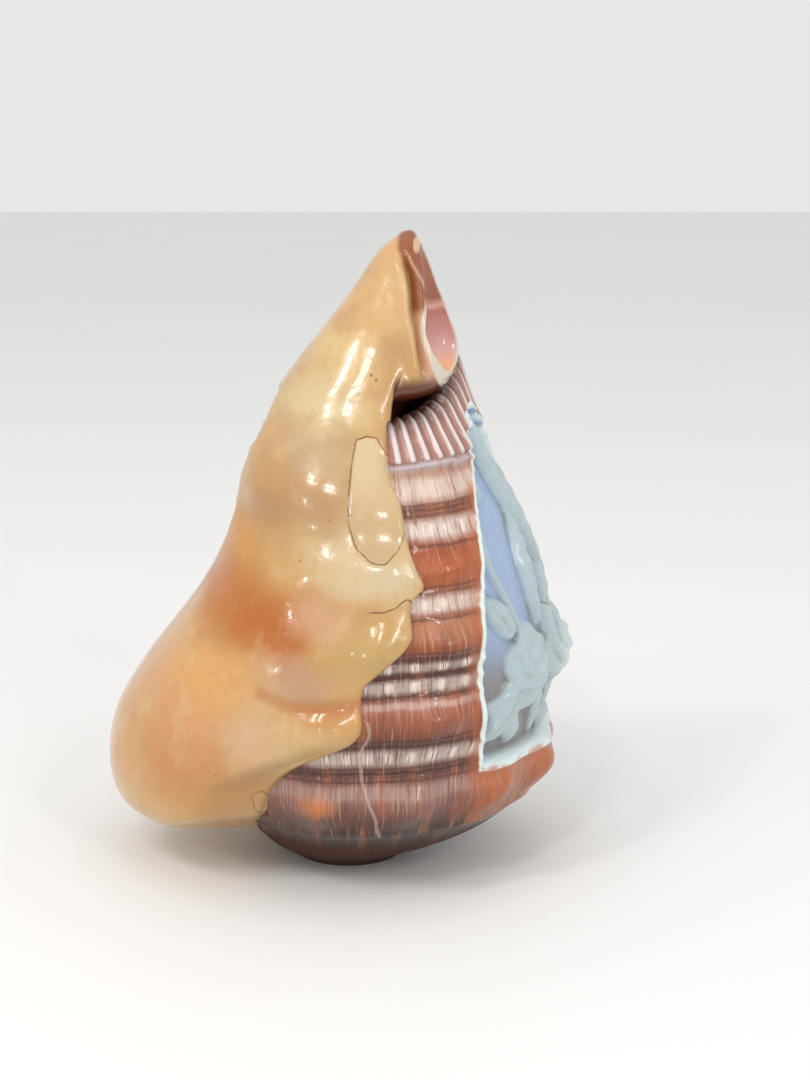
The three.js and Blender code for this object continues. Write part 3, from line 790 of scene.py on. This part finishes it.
shell = joined(whorl, front, "UNION")
for cutter in (hollow, canal, scoop, table):
    shell = joined(shell, cutter, "DIFFERENCE")
shell.name = "sea_snail_shell"
shell.data.validate()  # takes out slivers left by the joins
print("shell", len(shell.data.polygons), [slot.name for slot in shell.data.materials])

# what the surface is made of, point by point
chipLine = [(-19, 24.5), (-16.3, 25.3), (-14.6, 22.7), (-15.7, 17.7), (-18.2, 19.8)]
# white lip of the canal's open end: where it runs above the scoop, and how wide it is beside the scoop
lipX = through([
    (127, 13.4), (129, 14.1), (131, 14.6), (133, 14.7), (135, 14.2), (137, 13.3), (139, 12.1), (141, 10.9),
    (143, 9.9), (145, 9.2)])
lipWidth = through([(112, 3.0), (117, 2.4), (121, 1.2), (126, 0.9), (130, 0.7), (133, 0.2)])
smallCrack = [(-7, 19.4), (-3, 20), (-0.4, 21.2), (0.6, 22.8), (2.6, 23.2)]
scarAngle = through([(14, -84), (20, -85.6), (27, -89), (35, -91), (41, -88), (51, -89.2)])
elsewhere = 60.0  # added to distances on the side that marks don't reach


def beyondScoop(x, y, z):  # distance from the open end of the canal
    pathX, pathY, pathSize = (through([(stop[2], stop[k]) for stop in scoopStops]) for k in (0, 1, 3))
    away = np.full_like(x, 99.0)
    for height in np.linspace(115.8, 133, 30):
        fromPath = np.sqrt((x - pathX(height)) ** 2 + (y - pathY(height)) ** 2 + (z - height) ** 2)
        away = np.minimum(away, fromPath - pathSize(height))
    return away


def writeFields(piece):
    mesh = piece.data
    at = np.empty(len(mesh.vertices) * 3)
    mesh.vertices.foreach_get("co", at)
    x, y, z = (at.reshape(-1, 3) / mm).T
    ax, ay = x - axisX, y - axisY
    radius, angle = np.hypot(ax, ay), np.degrees(np.arctan2(ay, ax))
    toArc = np.radians(radius)  # mm for each degree
    band = z - bandRise(angle)
    onward = (angle - 75) % turn + 75  # on the callus the angle runs on from the lip to the spout
    inside, _, relief = carving(angle, z)
    reach = 0.8
    around = [(reach, 0), (-reach, 0), (0, reach), (0, -reach)]
    around = sum(carving(angle + a / panelScale, z + b)[2] for a, b in around) / 4
    front = np.where(ay < 5, 0.0, elsewhere)
    lipRim = np.where(z < 133, beyondScoop(ax, ay, z) - lipWidth(z), 99.0)
    lipLine = np.abs(ax - lipX(z)) - 0.32 + 0.5 * step(z, 141, 145)

    def near(points, closed=False, bothSides=False):
        away = lineDistance(x, z, points, closed)
        return (np.abs(away) if bothSides else away) + front

    fields = {
        "angle": angle, "band": band, "relief": relief, "fold": around - relief, "panel": inside,
        "bead": beads(angle, band) * (z < neckBase + 5), "rib": bell(ribPhase(angle), 0.29),
        "edge": toArc * (calloEdge(z) - onward), "round": onward, "reach": radius,
        "mouth": np.abs((angle % turn) - slotAngle(z)) * toArc,
        "patch": near(patchLine, closed=True), "chip": near(chipLine, closed=True),
        "ledge": near(ledgeLine), "ledgeNear": near(ledgeLine, bothSides=True),
        "crease": near(creaseLine, bothSides=True), "smallCrack": near(smallCrack, bothSides=True),
        "gully": np.where((z < 114) | (ay > 5), -99.0, x - gullyX(z)),
        "scar": (angle - scarAngle(z)) * toArc + 30 * (1 - step(z, 12, 15) + step(z, 44, 49)),
        "lipRim": np.minimum(lipRim, np.where(z > 128, lipLine, 99.0)) + front}
    for field, values in fields.items():
        if field in mesh.attributes:
            mesh.attributes.remove(mesh.attributes[field])
        written = mesh.attributes.new(field, "FLOAT", "POINT").data
        written.foreach_set("value", np.asarray(values, np.float32))


writeFields(shell)
print("surface fields written")


# materials
def tone(colour):  # three numbers from 0 to 255 are a colour as seen on a screen
    if isinstance(colour, Wire) or len(colour) == 4:
        return colour
    shares = [c / 255 for c in colour]
    return tuple(c / 12.92 if c < 0.0404 else ((c + 0.055) / 1.055) ** 2.4 for c in shares) + (1.0,)


class Paint(Tree):
    def __init__(self, material, finish):
        material.use_nodes = True
        super().__init__(material.node_tree)
        self.shader = material.node_tree.nodes["Principled BSDF"]
        for socket, value in finish.items():
            self.shader.inputs[socket].default_value = value
        self.place = self.scaled(self.node("ShaderNodeTexCoord", out=3), 1000.0)  # in mm
        self.colour = None

    def vector(self, operation, first, second, out=0):
        return self.node("ShaderNodeVectorMath", {"operation": operation}, {0: first, 1: second}, out)

    def scaled(self, vector, amount):
        return self.node("ShaderNodeVectorMath", {"operation": "SCALE"}, {0: vector, "Scale": amount})

    def along(self, number):  # the place along x, y or z
        return self.node("ShaderNodeSeparateXYZ", {}, {0: self.place}, number)

    def field(self, name):
        return self.node("ShaderNodeAttribute", {"attribute_name": name}, out=2)

    def blend(self, factor, first, second, kind="MIX"):
        settings = {"data_type": "RGBA", "blend_type": kind}
        return self.node("ShaderNodeMix", settings, {0: factor, 6: tone(first), 7: tone(second)}, 2)

    def over(self, factor, colour, kind="MIX"):  # lays a colour over what is painted so far
        self.colour = self.blend(factor, self.colour, colour, kind)

    def ramp(self, value, low, high, stops):  # stops: place, colour
        share = self.fade(value, low, high, smooth=False)
        stops = [((at - low) / (high - low), tone(colour)) for at, colour in stops]
        return self.node("ShaderNodeValToRGB", {"stops": stops}, {0: share})

    def fade(self, value, low, high, smooth=True):  # 0 at low, 1 at high
        kind = "SMOOTHSTEP" if smooth else "LINEAR"
        return self.node("ShaderNodeMapRange", {"interpolation_type": kind, "clamp": True},
                         {"Value": value, "From Min": low, "From Max": high})

    def noise(self, scale, detail=2.0, vector=None, roughness=0.5, colour=False):
        sockets = {"Vector": vector or self.place, "Scale": scale, "Detail": detail, "Roughness": roughness}
        return self.node("ShaderNodeTexNoise", {}, sockets, 1 if colour else 0)

    def streaks(self, x, y, z, detail, roughness=0.5):  # noise drawn out along the shell's own lines
        stretched = self.node("ShaderNodeCombineXYZ", {}, {0: x, 1: y, 2: z})
        return self.noise(1.0, detail, stretched, roughness)

    def warped(self, amount, scale):  # the place, pushed about by soft noise, in mm
        push = self.vector("SUBTRACT", self.noise(scale, colour=True), (0.5, 0.5, 0.5))
        return self.vector("ADD", self.place, self.scaled(push, amount))

    def seenFlat(self, vector):  # without its depth, so that marks go by the outline seen from the front
        return self.vector("MULTIPLY", vector, (1, 0, 1))

    def patchAt(self, vector, centre, size, softness=1.0):  # 1 at the centre of an oval, 0 from its edge on
        away = self.vector("DIVIDE", self.vector("SUBTRACT", vector, centre), size)
        length = self.node("ShaderNodeVectorMath", {"operation": "LENGTH"}, {0: away}, 1)
        return self.fade(length, 1.0, 1.0 - softness)

    def line(self, distance, width):  # 1 on the line, 0 from width on
        return self.fade(distance.math("ABSOLUTE"), width, width * 0.3)

    def finish(self, roughness, height=None, depth=0.2):
        self.links.new(self.colour.socket, self.shader.inputs["Base Color"])
        self.links.new(roughness.socket, self.shader.inputs["Roughness"])
        if height:
            sockets = {"Strength": 1.0, "Distance": depth * mm, "Height": height}
            self.links.new(self.node("ShaderNodeBump", {}, sockets).socket, self.shader.inputs["Normal"])


whorlPaint, carvingPaint, callusPaint, insidePaint, scoopPaint = shellMaterials

# callus: cream, with soft blushes
callus = {
    "cream": (220, 186, 132), "warm": (210, 162, 100), "cloud": (186, 142, 106),
    "mottle": (184, 134, 80), "light": (236, 206, 160), "grain": (196, 146, 96),
    "inlay": (232, 214, 172), "inlayLow": (208, 176, 134), "fold": (190, 112, 52),
    "edge": (176, 134, 84), "crack": (120, 92, 58), "gully": (160, 92, 52),
    # roofShade is painted shade on the callus's underside over the pocket
    "peach": (220, 172, 138), "rim": (232, 222, 204), "roofShade": (104, 54, 34),
    "tip": (226, 188, 150), "aroundTip": (138, 92, 62),
    "shade": (0.83, 0.81, 0.79, 1.0),
    "finish": {"Coat Weight": 0.35, "Coat Roughness": 0.04, "Subsurface Weight": 0.08,
               "Subsurface Scale": 0.003, "Subsurface Radius": (1.0, 0.45, 0.2), "IOR": 1.5},
    # centre (x, z), half width and half height, colour, strength; each goes right through the shell in y
    "blushes": [
        # the first blush, at the far left edge, is darker partly as painted shade where the callus turns away
        (-44, 40, 14, 28, (216, 172, 113), 0.8), (-35, 46, 16, 12, (224, 160, 106), 0.8),
        (-35, 31, 18, 12, (209, 142, 81), 0.85), (-22, 26, 14, 8, (195, 146, 88), 0.8),
        (-18.5, 39, 8, 8, (218, 181, 140), 0.8), (-28, 52, 14, 6, (230, 172, 101), 0.85),
        (-33, 62, 9, 11, (220, 166, 101), 0.8), (-23, 79, 8, 10, (212, 144, 44), 0.9),
        (-27, 70, 10, 8, (202, 126, 40), 0.95), (-18, 65.5, 13, 10, (194, 112, 34), 1.0),
        (-10, 62, 10, 8, (190, 106, 34), 1.0), (-9, 53, 10, 6, (195, 152, 121), 0.85),
        (-1.5, 66, 7, 7, (216, 168, 131), 0.8), (0, 57, 8, 6, (201, 164, 101), 0.7),
        (10.5, 59, 10, 10, (201, 168, 103), 0.85), (9, 75.5, 13, 5, (220, 205, 169), 0.9),
        (0, 80, 9, 5, (216, 195, 151), 0.7), (-4, 45, 10, 3, (209, 146, 85), 0.7),
        (-2, 38, 12, 4, (207, 172, 115), 0.8), (-15, 88, 8, 8, (185, 135, 76), 0.85),
        (-13, 97, 9, 7, (201, 148, 85), 0.75), (-5, 90, 13, 9, (191, 150, 104), 0.8),
        (-4, 101, 10, 7, (199, 172, 137), 0.75), (-2, 111, 13, 7, (226, 209, 160), 0.85),
        # the blush at x 14, height 121 is painted shade beside the pocket under the spout
        (3, 122, 13, 7, (232, 203, 144), 0.8), (14, 121, 5, 8, (197, 156, 104), 0.75),
        (8, 133, 12, 9, (226, 179, 121), 0.85), (7, 147, 14, 6, (226, 172, 112), 0.9)],
    # x, z and half width
    "specks": [(7.9, 116.8, 0.4), (9, 115.7, 0.35), (3.5, 87.9, 0.3), (-17.5, 67.5, 0.25), (-26.6, 29.9, 0.3),
               (-7.5, 78.1, 0.25), (-0.9, 86.8, 0.25)]}
paint = Paint(callusPaint, callus["finish"])
high = paint.along(2)
soft = paint.seenFlat(paint.warped(9.0, 0.06))
paint.colour = paint.blend(paint.fade(paint.noise(0.03, 3.0), 0.35, 0.65), callus["cream"], callus["warm"])
for x, z, width, tall, blush, strength in callus["blushes"]:
    paint.over(paint.patchAt(soft, (x, 0, z), (width * 1.3, 1, tall * 1.3), 0.85) * strength, blush)
mottle, fine = paint.noise(0.16, 5.0, roughness=0.65), paint.noise(0.9, 3.0, roughness=0.6)
cloudy = paint.noise(0.1, 3.0, roughness=0.55)
paint.over(paint.fade(cloudy, 0.5, 0.66) * paint.fade(high, 60, 84) * 0.28, callus["cloud"])
paint.over(paint.fade(mottle, 0.5, 0.7) * 0.25, callus["mottle"])
paint.over(paint.fade(cloudy, 0.46, 0.32) * 0.2, callus["light"])
grain = paint.streaks(paint.field("round") * 0.3, high * 0.06, 0.0, 3.0, 0.6)
paint.over(paint.fade(grain, 0.5, 0.75) * 0.16, callus["grain"])
patch, edge, gully = paint.field("patch"), paint.field("edge"), paint.field("gully")
inlay = paint.blend(paint.fade(high, 99, 84), callus["inlay"], callus["inlayLow"])
paint.over(paint.fade(patch, 0.0, -0.5) * 0.7, inlay)
paint.over(paint.fade(paint.field("crease"), 2.6, 0.2) * 0.6, callus["fold"])
paint.over(paint.fade(edge, 1.8, 0.1) * paint.fade(high, 112, 104) * 0.5, callus["edge"])
groove = paint.blend(paint.fade(high, 128.5, 131.5), callus["peach"], callus["gully"])
paint.over(paint.fade(gully, -1.2, 0.2), groove)
# painted shade: the callus beyond its free edge, over the pocket, turns dark red-brown
paint.over(paint.fade(edge, -0.3, -1.6) * paint.fade(high, 117.0, 113.5), callus["roofShade"])
rim = paint.blend(paint.fade(high, 129, 133), callus["rim"], callus["peach"])
paint.over(paint.fade(paint.field("lipRim"), 0.4, -0.4), rim)
wobble = fine * 0.5 - 0.25
crack = paint.line(patch + wobble, 0.2) + paint.line(paint.field("chip") + wobble, 0.22) * 0.7
ledgeEnds = paint.fade(paint.field("ledgeNear"), 1.0, 0.6)
crack = crack + paint.line(paint.field("ledge") + wobble, 0.24) * ledgeEnds
crack = (crack * (paint.fade(paint.noise(0.35, 2.0), 0.3, 0.6) * 0.6 + 0.4)).math("MINIMUM", 1.0)
paint.over(crack * 0.85, callus["crack"])
flat = paint.seenFlat(paint.place)
spot = paint.patchAt(flat, (18.1, 0, 144.8), (1.5, 1, 3.2), 1.0)  # the pale worn tip
paint.over(paint.fade(spot, 0.0, 0.3) * 0.5, callus["aroundTip"])
paint.over(paint.fade(spot, 0.25, 0.65), callus["tip"])
onFront = paint.fade(paint.along(1), 0.0, -6.0)
for x, z, size in callus["specks"]:
    speck = paint.patchAt(flat, (x, 0, z), (size * 1.5, 1, size * 1.5), 0.8)
    paint.over(speck * onFront * 0.8, callus["crack"])
wavy = paint.noise(0.09, 2.0) * 0.6 + fine * 0.05 + mottle * 0.12 - crack * 0.2
paint.over(1.0, callus["shade"], "MULTIPLY")
paint.finish(paint.fade(mottle, 0.3, 0.8) * 0.08 + 0.16, wavy, 0.8)

# whorl: red-brown bands, white rows broken by fine upright growth lines, dark threads beside the rows
whorlLook = {
    "bands": [
        # the two lowest stops, near black, are painted shade on the underside
        (16, (30, 14, 8)), (19, (60, 30, 18)), (23, (108, 66, 52)), (27, (150, 104, 92)),
        (30.5, (142, 94, 84)), (33.5, (84, 42, 28)), (36, (110, 62, 46)), (40.2, (80, 38, 24)),
        # the pinkish-mauve stop at 49.8 is a painted highlight along the ridge top
        (43, (136, 70, 38)), (47, (164, 96, 62)), (49.8, (184, 130, 116)), (51.4, (100, 50, 34)),
        (55.4, (90, 42, 26)), (59.6, (94, 46, 28)), (62, (166, 88, 38)), (66, (190, 112, 52)),
        (68.2, (160, 98, 66)), (72.8, (160, 104, 80)), (75, (172, 92, 42)), (79.5, (188, 98, 38)),
        (83, (166, 86, 48)), (88.6, (156, 102, 78)), (90.6, (140, 80, 54)), (93, (182, 122, 84)),
        (97.5, (190, 144, 116)), (98.6, (204, 190, 184)), (99.3, (222, 218, 232)), (100.2, (150, 104, 88))],
    "shade": (0.8, 0.7, 0.66, 1.0),
    # white rows: height, half height, strength
    "rows": [(29, 2.2, 0.2), (37.2, 2.3, 0.6), (49.4, 1.0, 0.3), (53.4, 1.7, 0.5), (57.6, 1.3, 0.4),
             (65.2, 3.0, 0.1), (70.6, 2.3, 0.75), (86, 2.6, 0.85), (94.4, 3.2, 0.75)],
    "threads": [31.6, 33.4, 34.6, 39.8, 41.2, 51.2, 55.5, 59.4, 60.6, 67.6, 73.2, 74.2, 82.7, 88.9, 90.0,
                91.1],
    "broadLight": (172, 90, 46), "broadDark": (98, 46, 32), "bead": (228, 212, 200),
    "streak": (214, 176, 150), "dark": (74, 34, 22), "amber": (206, 122, 44),
    "scar": (206, 186, 172),
    "besidePanel": (176, 92, 48), "underPanel": (178, 94, 40), "panelEdge": (220, 228, 218),
    "neck": (146, 92, 74), "neckLight": (176, 132, 122), "neckStreak": (196, 150, 136),
    # pocketShade is painted shade: near-black brown deep in the pocket behind the neck
    "rib": (222, 212, 208), "pocketShade": (52, 28, 20), "throat": (132, 68, 40),
    # bottomShade is painted shade: near black at the bottom of the whorl
    "bottomShade": (68, 28, 5),
    "finish": {"Coat Roughness": 0.06, "IOR": 1.5}}
paint = Paint(whorlPaint, whorlLook["finish"])
angle, band, panel = paint.field("angle"), paint.field("band"), paint.field("panel")
row = band + paint.noise(0.15, 2.0) * 1.6 - 0.8
squares = paint.streaks(angle * 0.62, band * 0.12, 0.0, 2.0)
lines = paint.streaks(angle * 1.7, band * 0.09, 5.0, 3.0, 0.6)
broad = paint.streaks(angle * 0.16, band * 0.07, 3.0, 3.0)
paint.colour = paint.ramp(row, 14, 101, whorlLook["bands"])
paint.over(1.0, whorlLook["shade"], "MULTIPLY")
paint.over(paint.fade(broad, 0.52, 0.68) * 0.5, whorlLook["broadLight"])
paint.over(paint.fade(broad, 0.46, 0.32) * 0.4, whorlLook["broadDark"])
paint.over(paint.fade(lines, 0.52, 0.75) * 0.5, whorlLook["streak"])
paint.over(paint.fade(lines, 0.48, 0.28) * 0.25, whorlLook["dark"])
white = reduce(add, (paint.fade((row - centre).math("ABSOLUTE"), half * 1.2, half * 0.3) * strength
                     for centre, half, strength in whorlLook["rows"]))
white = white * (paint.fade(squares, 0.24, 0.46) * 0.8 + 0.2) * (paint.fade(lines, 0.3, 0.52) * 0.7 + 0.3)
paint.over(white, whorlLook["bead"])
thin = band + paint.noise(0.35, 2.0) * 0.9 - 0.45
threads = reduce(add, (paint.line(thin - height, 0.42) for height in whorlLook["threads"]))
threads = threads * paint.fade(panel, -0.6, -1.6)
paint.over(threads * (paint.fade(squares, 0.3, 0.55) * 0.3 + 0.25), whorlLook["dark"])
paint.over(paint.fade(paint.field("bead"), 0.25, 0.8) * paint.fade(lines, 0.38, 0.5) * 0.9, whorlLook["bead"])
amber = paint.patchAt(paint.warped(3.0, 0.2), (-4, -44, 23.5), (6.5, 12, 3.8), 0.7)
paint.over(amber * 0.45, whorlLook["amber"])
crack = paint.line(paint.field("smallCrack") + lines * 0.6 - 0.3, 0.26)
paint.over(crack * 0.8, whorlLook["dark"])
scar = paint.line(paint.field("scar") + paint.noise(0.3) * 1.0 - 0.5, 0.6)
paint.over(scar * 0.4, whorlLook["scar"])
besidePanel = paint.fade(panel, -5.0, -1.4) * paint.fade(band, 97, 92)
paint.over(besidePanel * paint.fade(squares, 0.3, 0.5) * 0.55, whorlLook["besidePanel"])
underPanel = paint.fade(angle, -56.0, -48.0) * paint.fade(band, 33.0, 29.5) * paint.fade(band, 15.0, 19.0)
paint.over(underPanel * (paint.fade(squares, 0.36, 0.56) * 0.5 + 0.35), whorlLook["underPanel"])
paint.over(paint.fade(panel + paint.noise(0.3, 2.0) * 0.7, -0.3, 0.2), whorlLook["panelEdge"])
neck = paint.blend(paint.noise(0.2, 2.0), whorlLook["neck"], whorlLook["neckLight"])
neck = paint.blend(paint.fade(lines, 0.45, 0.7) * 0.3, neck, whorlLook["neckStreak"])
neck = paint.blend(paint.fade(paint.field("rib"), 0.4, 0.95), neck, whorlLook["rib"])
# painted shade: the neck turns near-black deeper into the pocket, where the spout shades it
neck = paint.blend(paint.fade(paint.field("reach"), 24.0, 19.0) * 0.95, neck, whorlLook["pocketShade"])
paint.over(paint.fade(band, 100.0, 100.5), neck)
high = paint.along(2)
paint.over(paint.fade(paint.field("mouth"), 19.0, 14.0) * paint.fade(high, 15.0, 20.0), whorlLook["throat"])
# painted shade: the whorl darkens to near black towards the bottom, where it stands on the floor; the same
# mask makes the bottom rougher and takes off its coat
bottomShade = paint.fade(high, 17.0, 8.0)
paint.over(bottomShade * 0.92, whorlLook["bottomShade"])
coat = (1.0 - bottomShade) * 0.3
paint.links.new(coat.socket, paint.shader.inputs["Coat Weight"])
height = lines - threads * 0.8 + scar * 0.8
paint.finish(paint.fade(lines, 0.3, 0.7) * 0.12 + bottomShade * 0.66 + 0.16, height, 0.16)

# carving: pale blue-white relief on smooth lavender ground, with painted shade in the hollows of the relief
# and towards the bottom
carvingLook = {
    "relief": (172, 188, 192), "high": (224, 233, 230), "ground": (156, 176, 206),
    # low is painted shade towards the bottom of the ground; crease is painted shade in the relief's hollows
    "low": (134, 130, 132), "crease": (122, 124, 108), "cloud": (180, 202, 206),
    "rim": (216, 230, 230), "foot": (186, 128, 84),
    "finish": {"Coat Weight": 0.2, "Coat Roughness": 0.12, "Subsurface Weight": 0.08,
               "Subsurface Scale": 0.002, "IOR": 1.5}}
paint = Paint(carvingPaint, carvingLook["finish"])
raised, panel, high = paint.field("relief"), paint.field("panel"), paint.along(2)
# painted shade: the ground turns grey-taupe towards the bottom of the panel
ground = paint.blend(paint.fade(high, 62.0, 46.0), carvingLook["ground"], carvingLook["low"])
paint.colour = paint.blend(paint.fade(raised, 0.3, 1.4), ground, carvingLook["relief"])
paint.over(paint.fade(raised, 3.4, 7.5) * 0.6, carvingLook["high"])
# painted shade: the relief's hollows, where it lies lower than around it, are darkened
uneven = paint.fade(paint.noise(0.2, 2.0), 0.35, 0.6) * 0.4 + 0.45
paint.over(paint.fade(paint.field("fold"), 0.05, 0.4) * uneven, carvingLook["crease"])
cloud = paint.noise(0.16, 3.0)
paint.over(paint.fade(cloud, 0.55, 0.75) * 0.4 * paint.fade(raised, 0.2, 1.0), carvingLook["cloud"])
paint.over(paint.fade(panel, 2.4, 1.4), carvingLook["rim"])
foot = paint.fade(panel, 1.4, 0.0) * paint.fade(high, 36.0, 31.0) * paint.fade(cloud, 0.4, 0.6)
paint.over(foot * 0.8, carvingLook["foot"])
scratch = paint.streaks(paint.field("angle") * 0.5, paint.field("band") * 0.9, 0.0, 3.0, 0.7)
paint.finish(paint.fade(scratch, 0.3, 0.7) * 0.1 + 0.22, scratch, 0.02)

# inside of the mouth: orange-brown, with cream teeth at its edge
insideLook = {"deep": (150, 78, 44), "light": (196, 122, 78), "teeth": (226, 190, 150),
              "finish": {"Coat Weight": 0.3, "Coat Roughness": 0.1, "IOR": 1.5}}
paint = Paint(insidePaint, insideLook["finish"])
paint.colour = paint.blend(paint.noise(0.08, 3.0), insideLook["deep"], insideLook["light"])
paint.over(paint.fade(paint.field("mouth"), 5.2, 6.5) * 0.5, insideLook["teeth"])
paint.finish(paint.noise(0.3) * 0.1 + 0.2, paint.noise(0.4, 3.0), 0.2)

# open end of the canal: orange floor, pink hollow, amber above
scoopLook = {
    "heights": [(114, (228, 170, 130)), (118, (228, 170, 130)), (121, (214, 164, 156)),
                # the pale stop at 131.2 is a painted highlight along the edge above the pink hollow
                (129, (176, 112, 98)), (130, (176, 112, 98)), (131.2, (206, 156, 140)),
                (133, (150, 88, 62)), (146, (166, 100, 62))],
    "finish": {"Coat Weight": 0.4, "Coat Roughness": 0.06, "IOR": 1.5, "Subsurface Weight": 0.1,
               "Subsurface Scale": 0.003}}
paint = Paint(scoopPaint, scoopLook["finish"])
paint.colour = paint.ramp(paint.along(2) + paint.noise(0.2, 2.0) * 3.0 - 1.5, 110, 148, scoopLook["heights"])
paint.finish(paint.noise(0.3) * 0.08 + 0.14, paint.noise(0.35, 2.0), 0.2)

floorPaint = bpy.data.materials.new("pale floor")
paint = Paint(floorPaint, {"IOR": 1.4})
paint.colour = paint.blend(paint.noise(0.004, 2.0), (236, 236, 234), (241, 240, 238))
paint.finish(paint.noise(0.02) * 0.1 + 0.6)
print("materials")


# floor and light; then the shell is smoothed, attached and the imported one hidden
stage = {"floorHalf": 3.0, "worldTone": 0.8}
floorMesh = bpy.data.meshes.new("floor")
corners = [(-1, -1), (1, -1), (1, 1), (-1, 1)]
corners = [(stage["floorHalf"] * x, stage["floorHalf"] * y, 0) for x, y in corners]
floorMesh.from_pydata(corners, [], [(0, 1, 2, 3)])
floor = added("floor", floorMesh)
floorMesh.materials.append(floorPaint)

lamps = {  # direction from the shell (from the front, upwards), distance, width, height, power
    "key": (-52, 38, 1.2, 0.55, 0.5, 1.2), "overhead": (20, 80, 1.1, 0.8, 0.8, 1.0),
    "side": (62, 24, 1.1, 0.4, 0.5, 0.6), "lowWindow": (-46, 15, 1.2, 0.05, 0.1, 0.5),
    "spoutWindow": (30, 28, 1.2, 0.06, 0.4, 1.8)}
for name, (bearing, rise) in {"leftWindow": (-46, 44), "rightWindow": (-19, 41)}.items():
    for pane in range(4):
        aim = (bearing + 4.5 * (pane % 2), rise + 5 * (pane // 2))
        lamps[name + str(pane)] = (*aim, 1.1, 0.06, 0.075, 0.35)
for name, (bearing, rise, distance, width, height, power) in lamps.items():
    data = bpy.data.lights.new(name, "AREA")
    data.shape, data.size, data.size_y, data.energy = "RECTANGLE", width, height, power
    lamp = added(name, data)
    aside, up = math.radians(bearing), math.radians(rise)
    toLamp = Vector((math.sin(aside) * math.cos(up), -math.cos(aside) * math.cos(up), math.sin(up)))
    lamp.location = Vector((0, 0, 0.08)) + toLamp * distance
    lamp.rotation_euler = (-toLamp).to_track_quat("-Z", "Y").to_euler()
    lamp.visible_glossy = "indow" in name  # only the windows are mirrored in the gloss
bpy.context.scene.view_settings.view_transform = "Standard"
world = bpy.data.worlds.new("studio")
bpy.context.scene.world = world
world.use_nodes = True
grey = stage["worldTone"]
world.node_tree.nodes["Background"].inputs["Color"].default_value = (grey, grey, grey, 1)

shell.data.shade_smooth()
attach(shell, "root")
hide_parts("carved_shell")
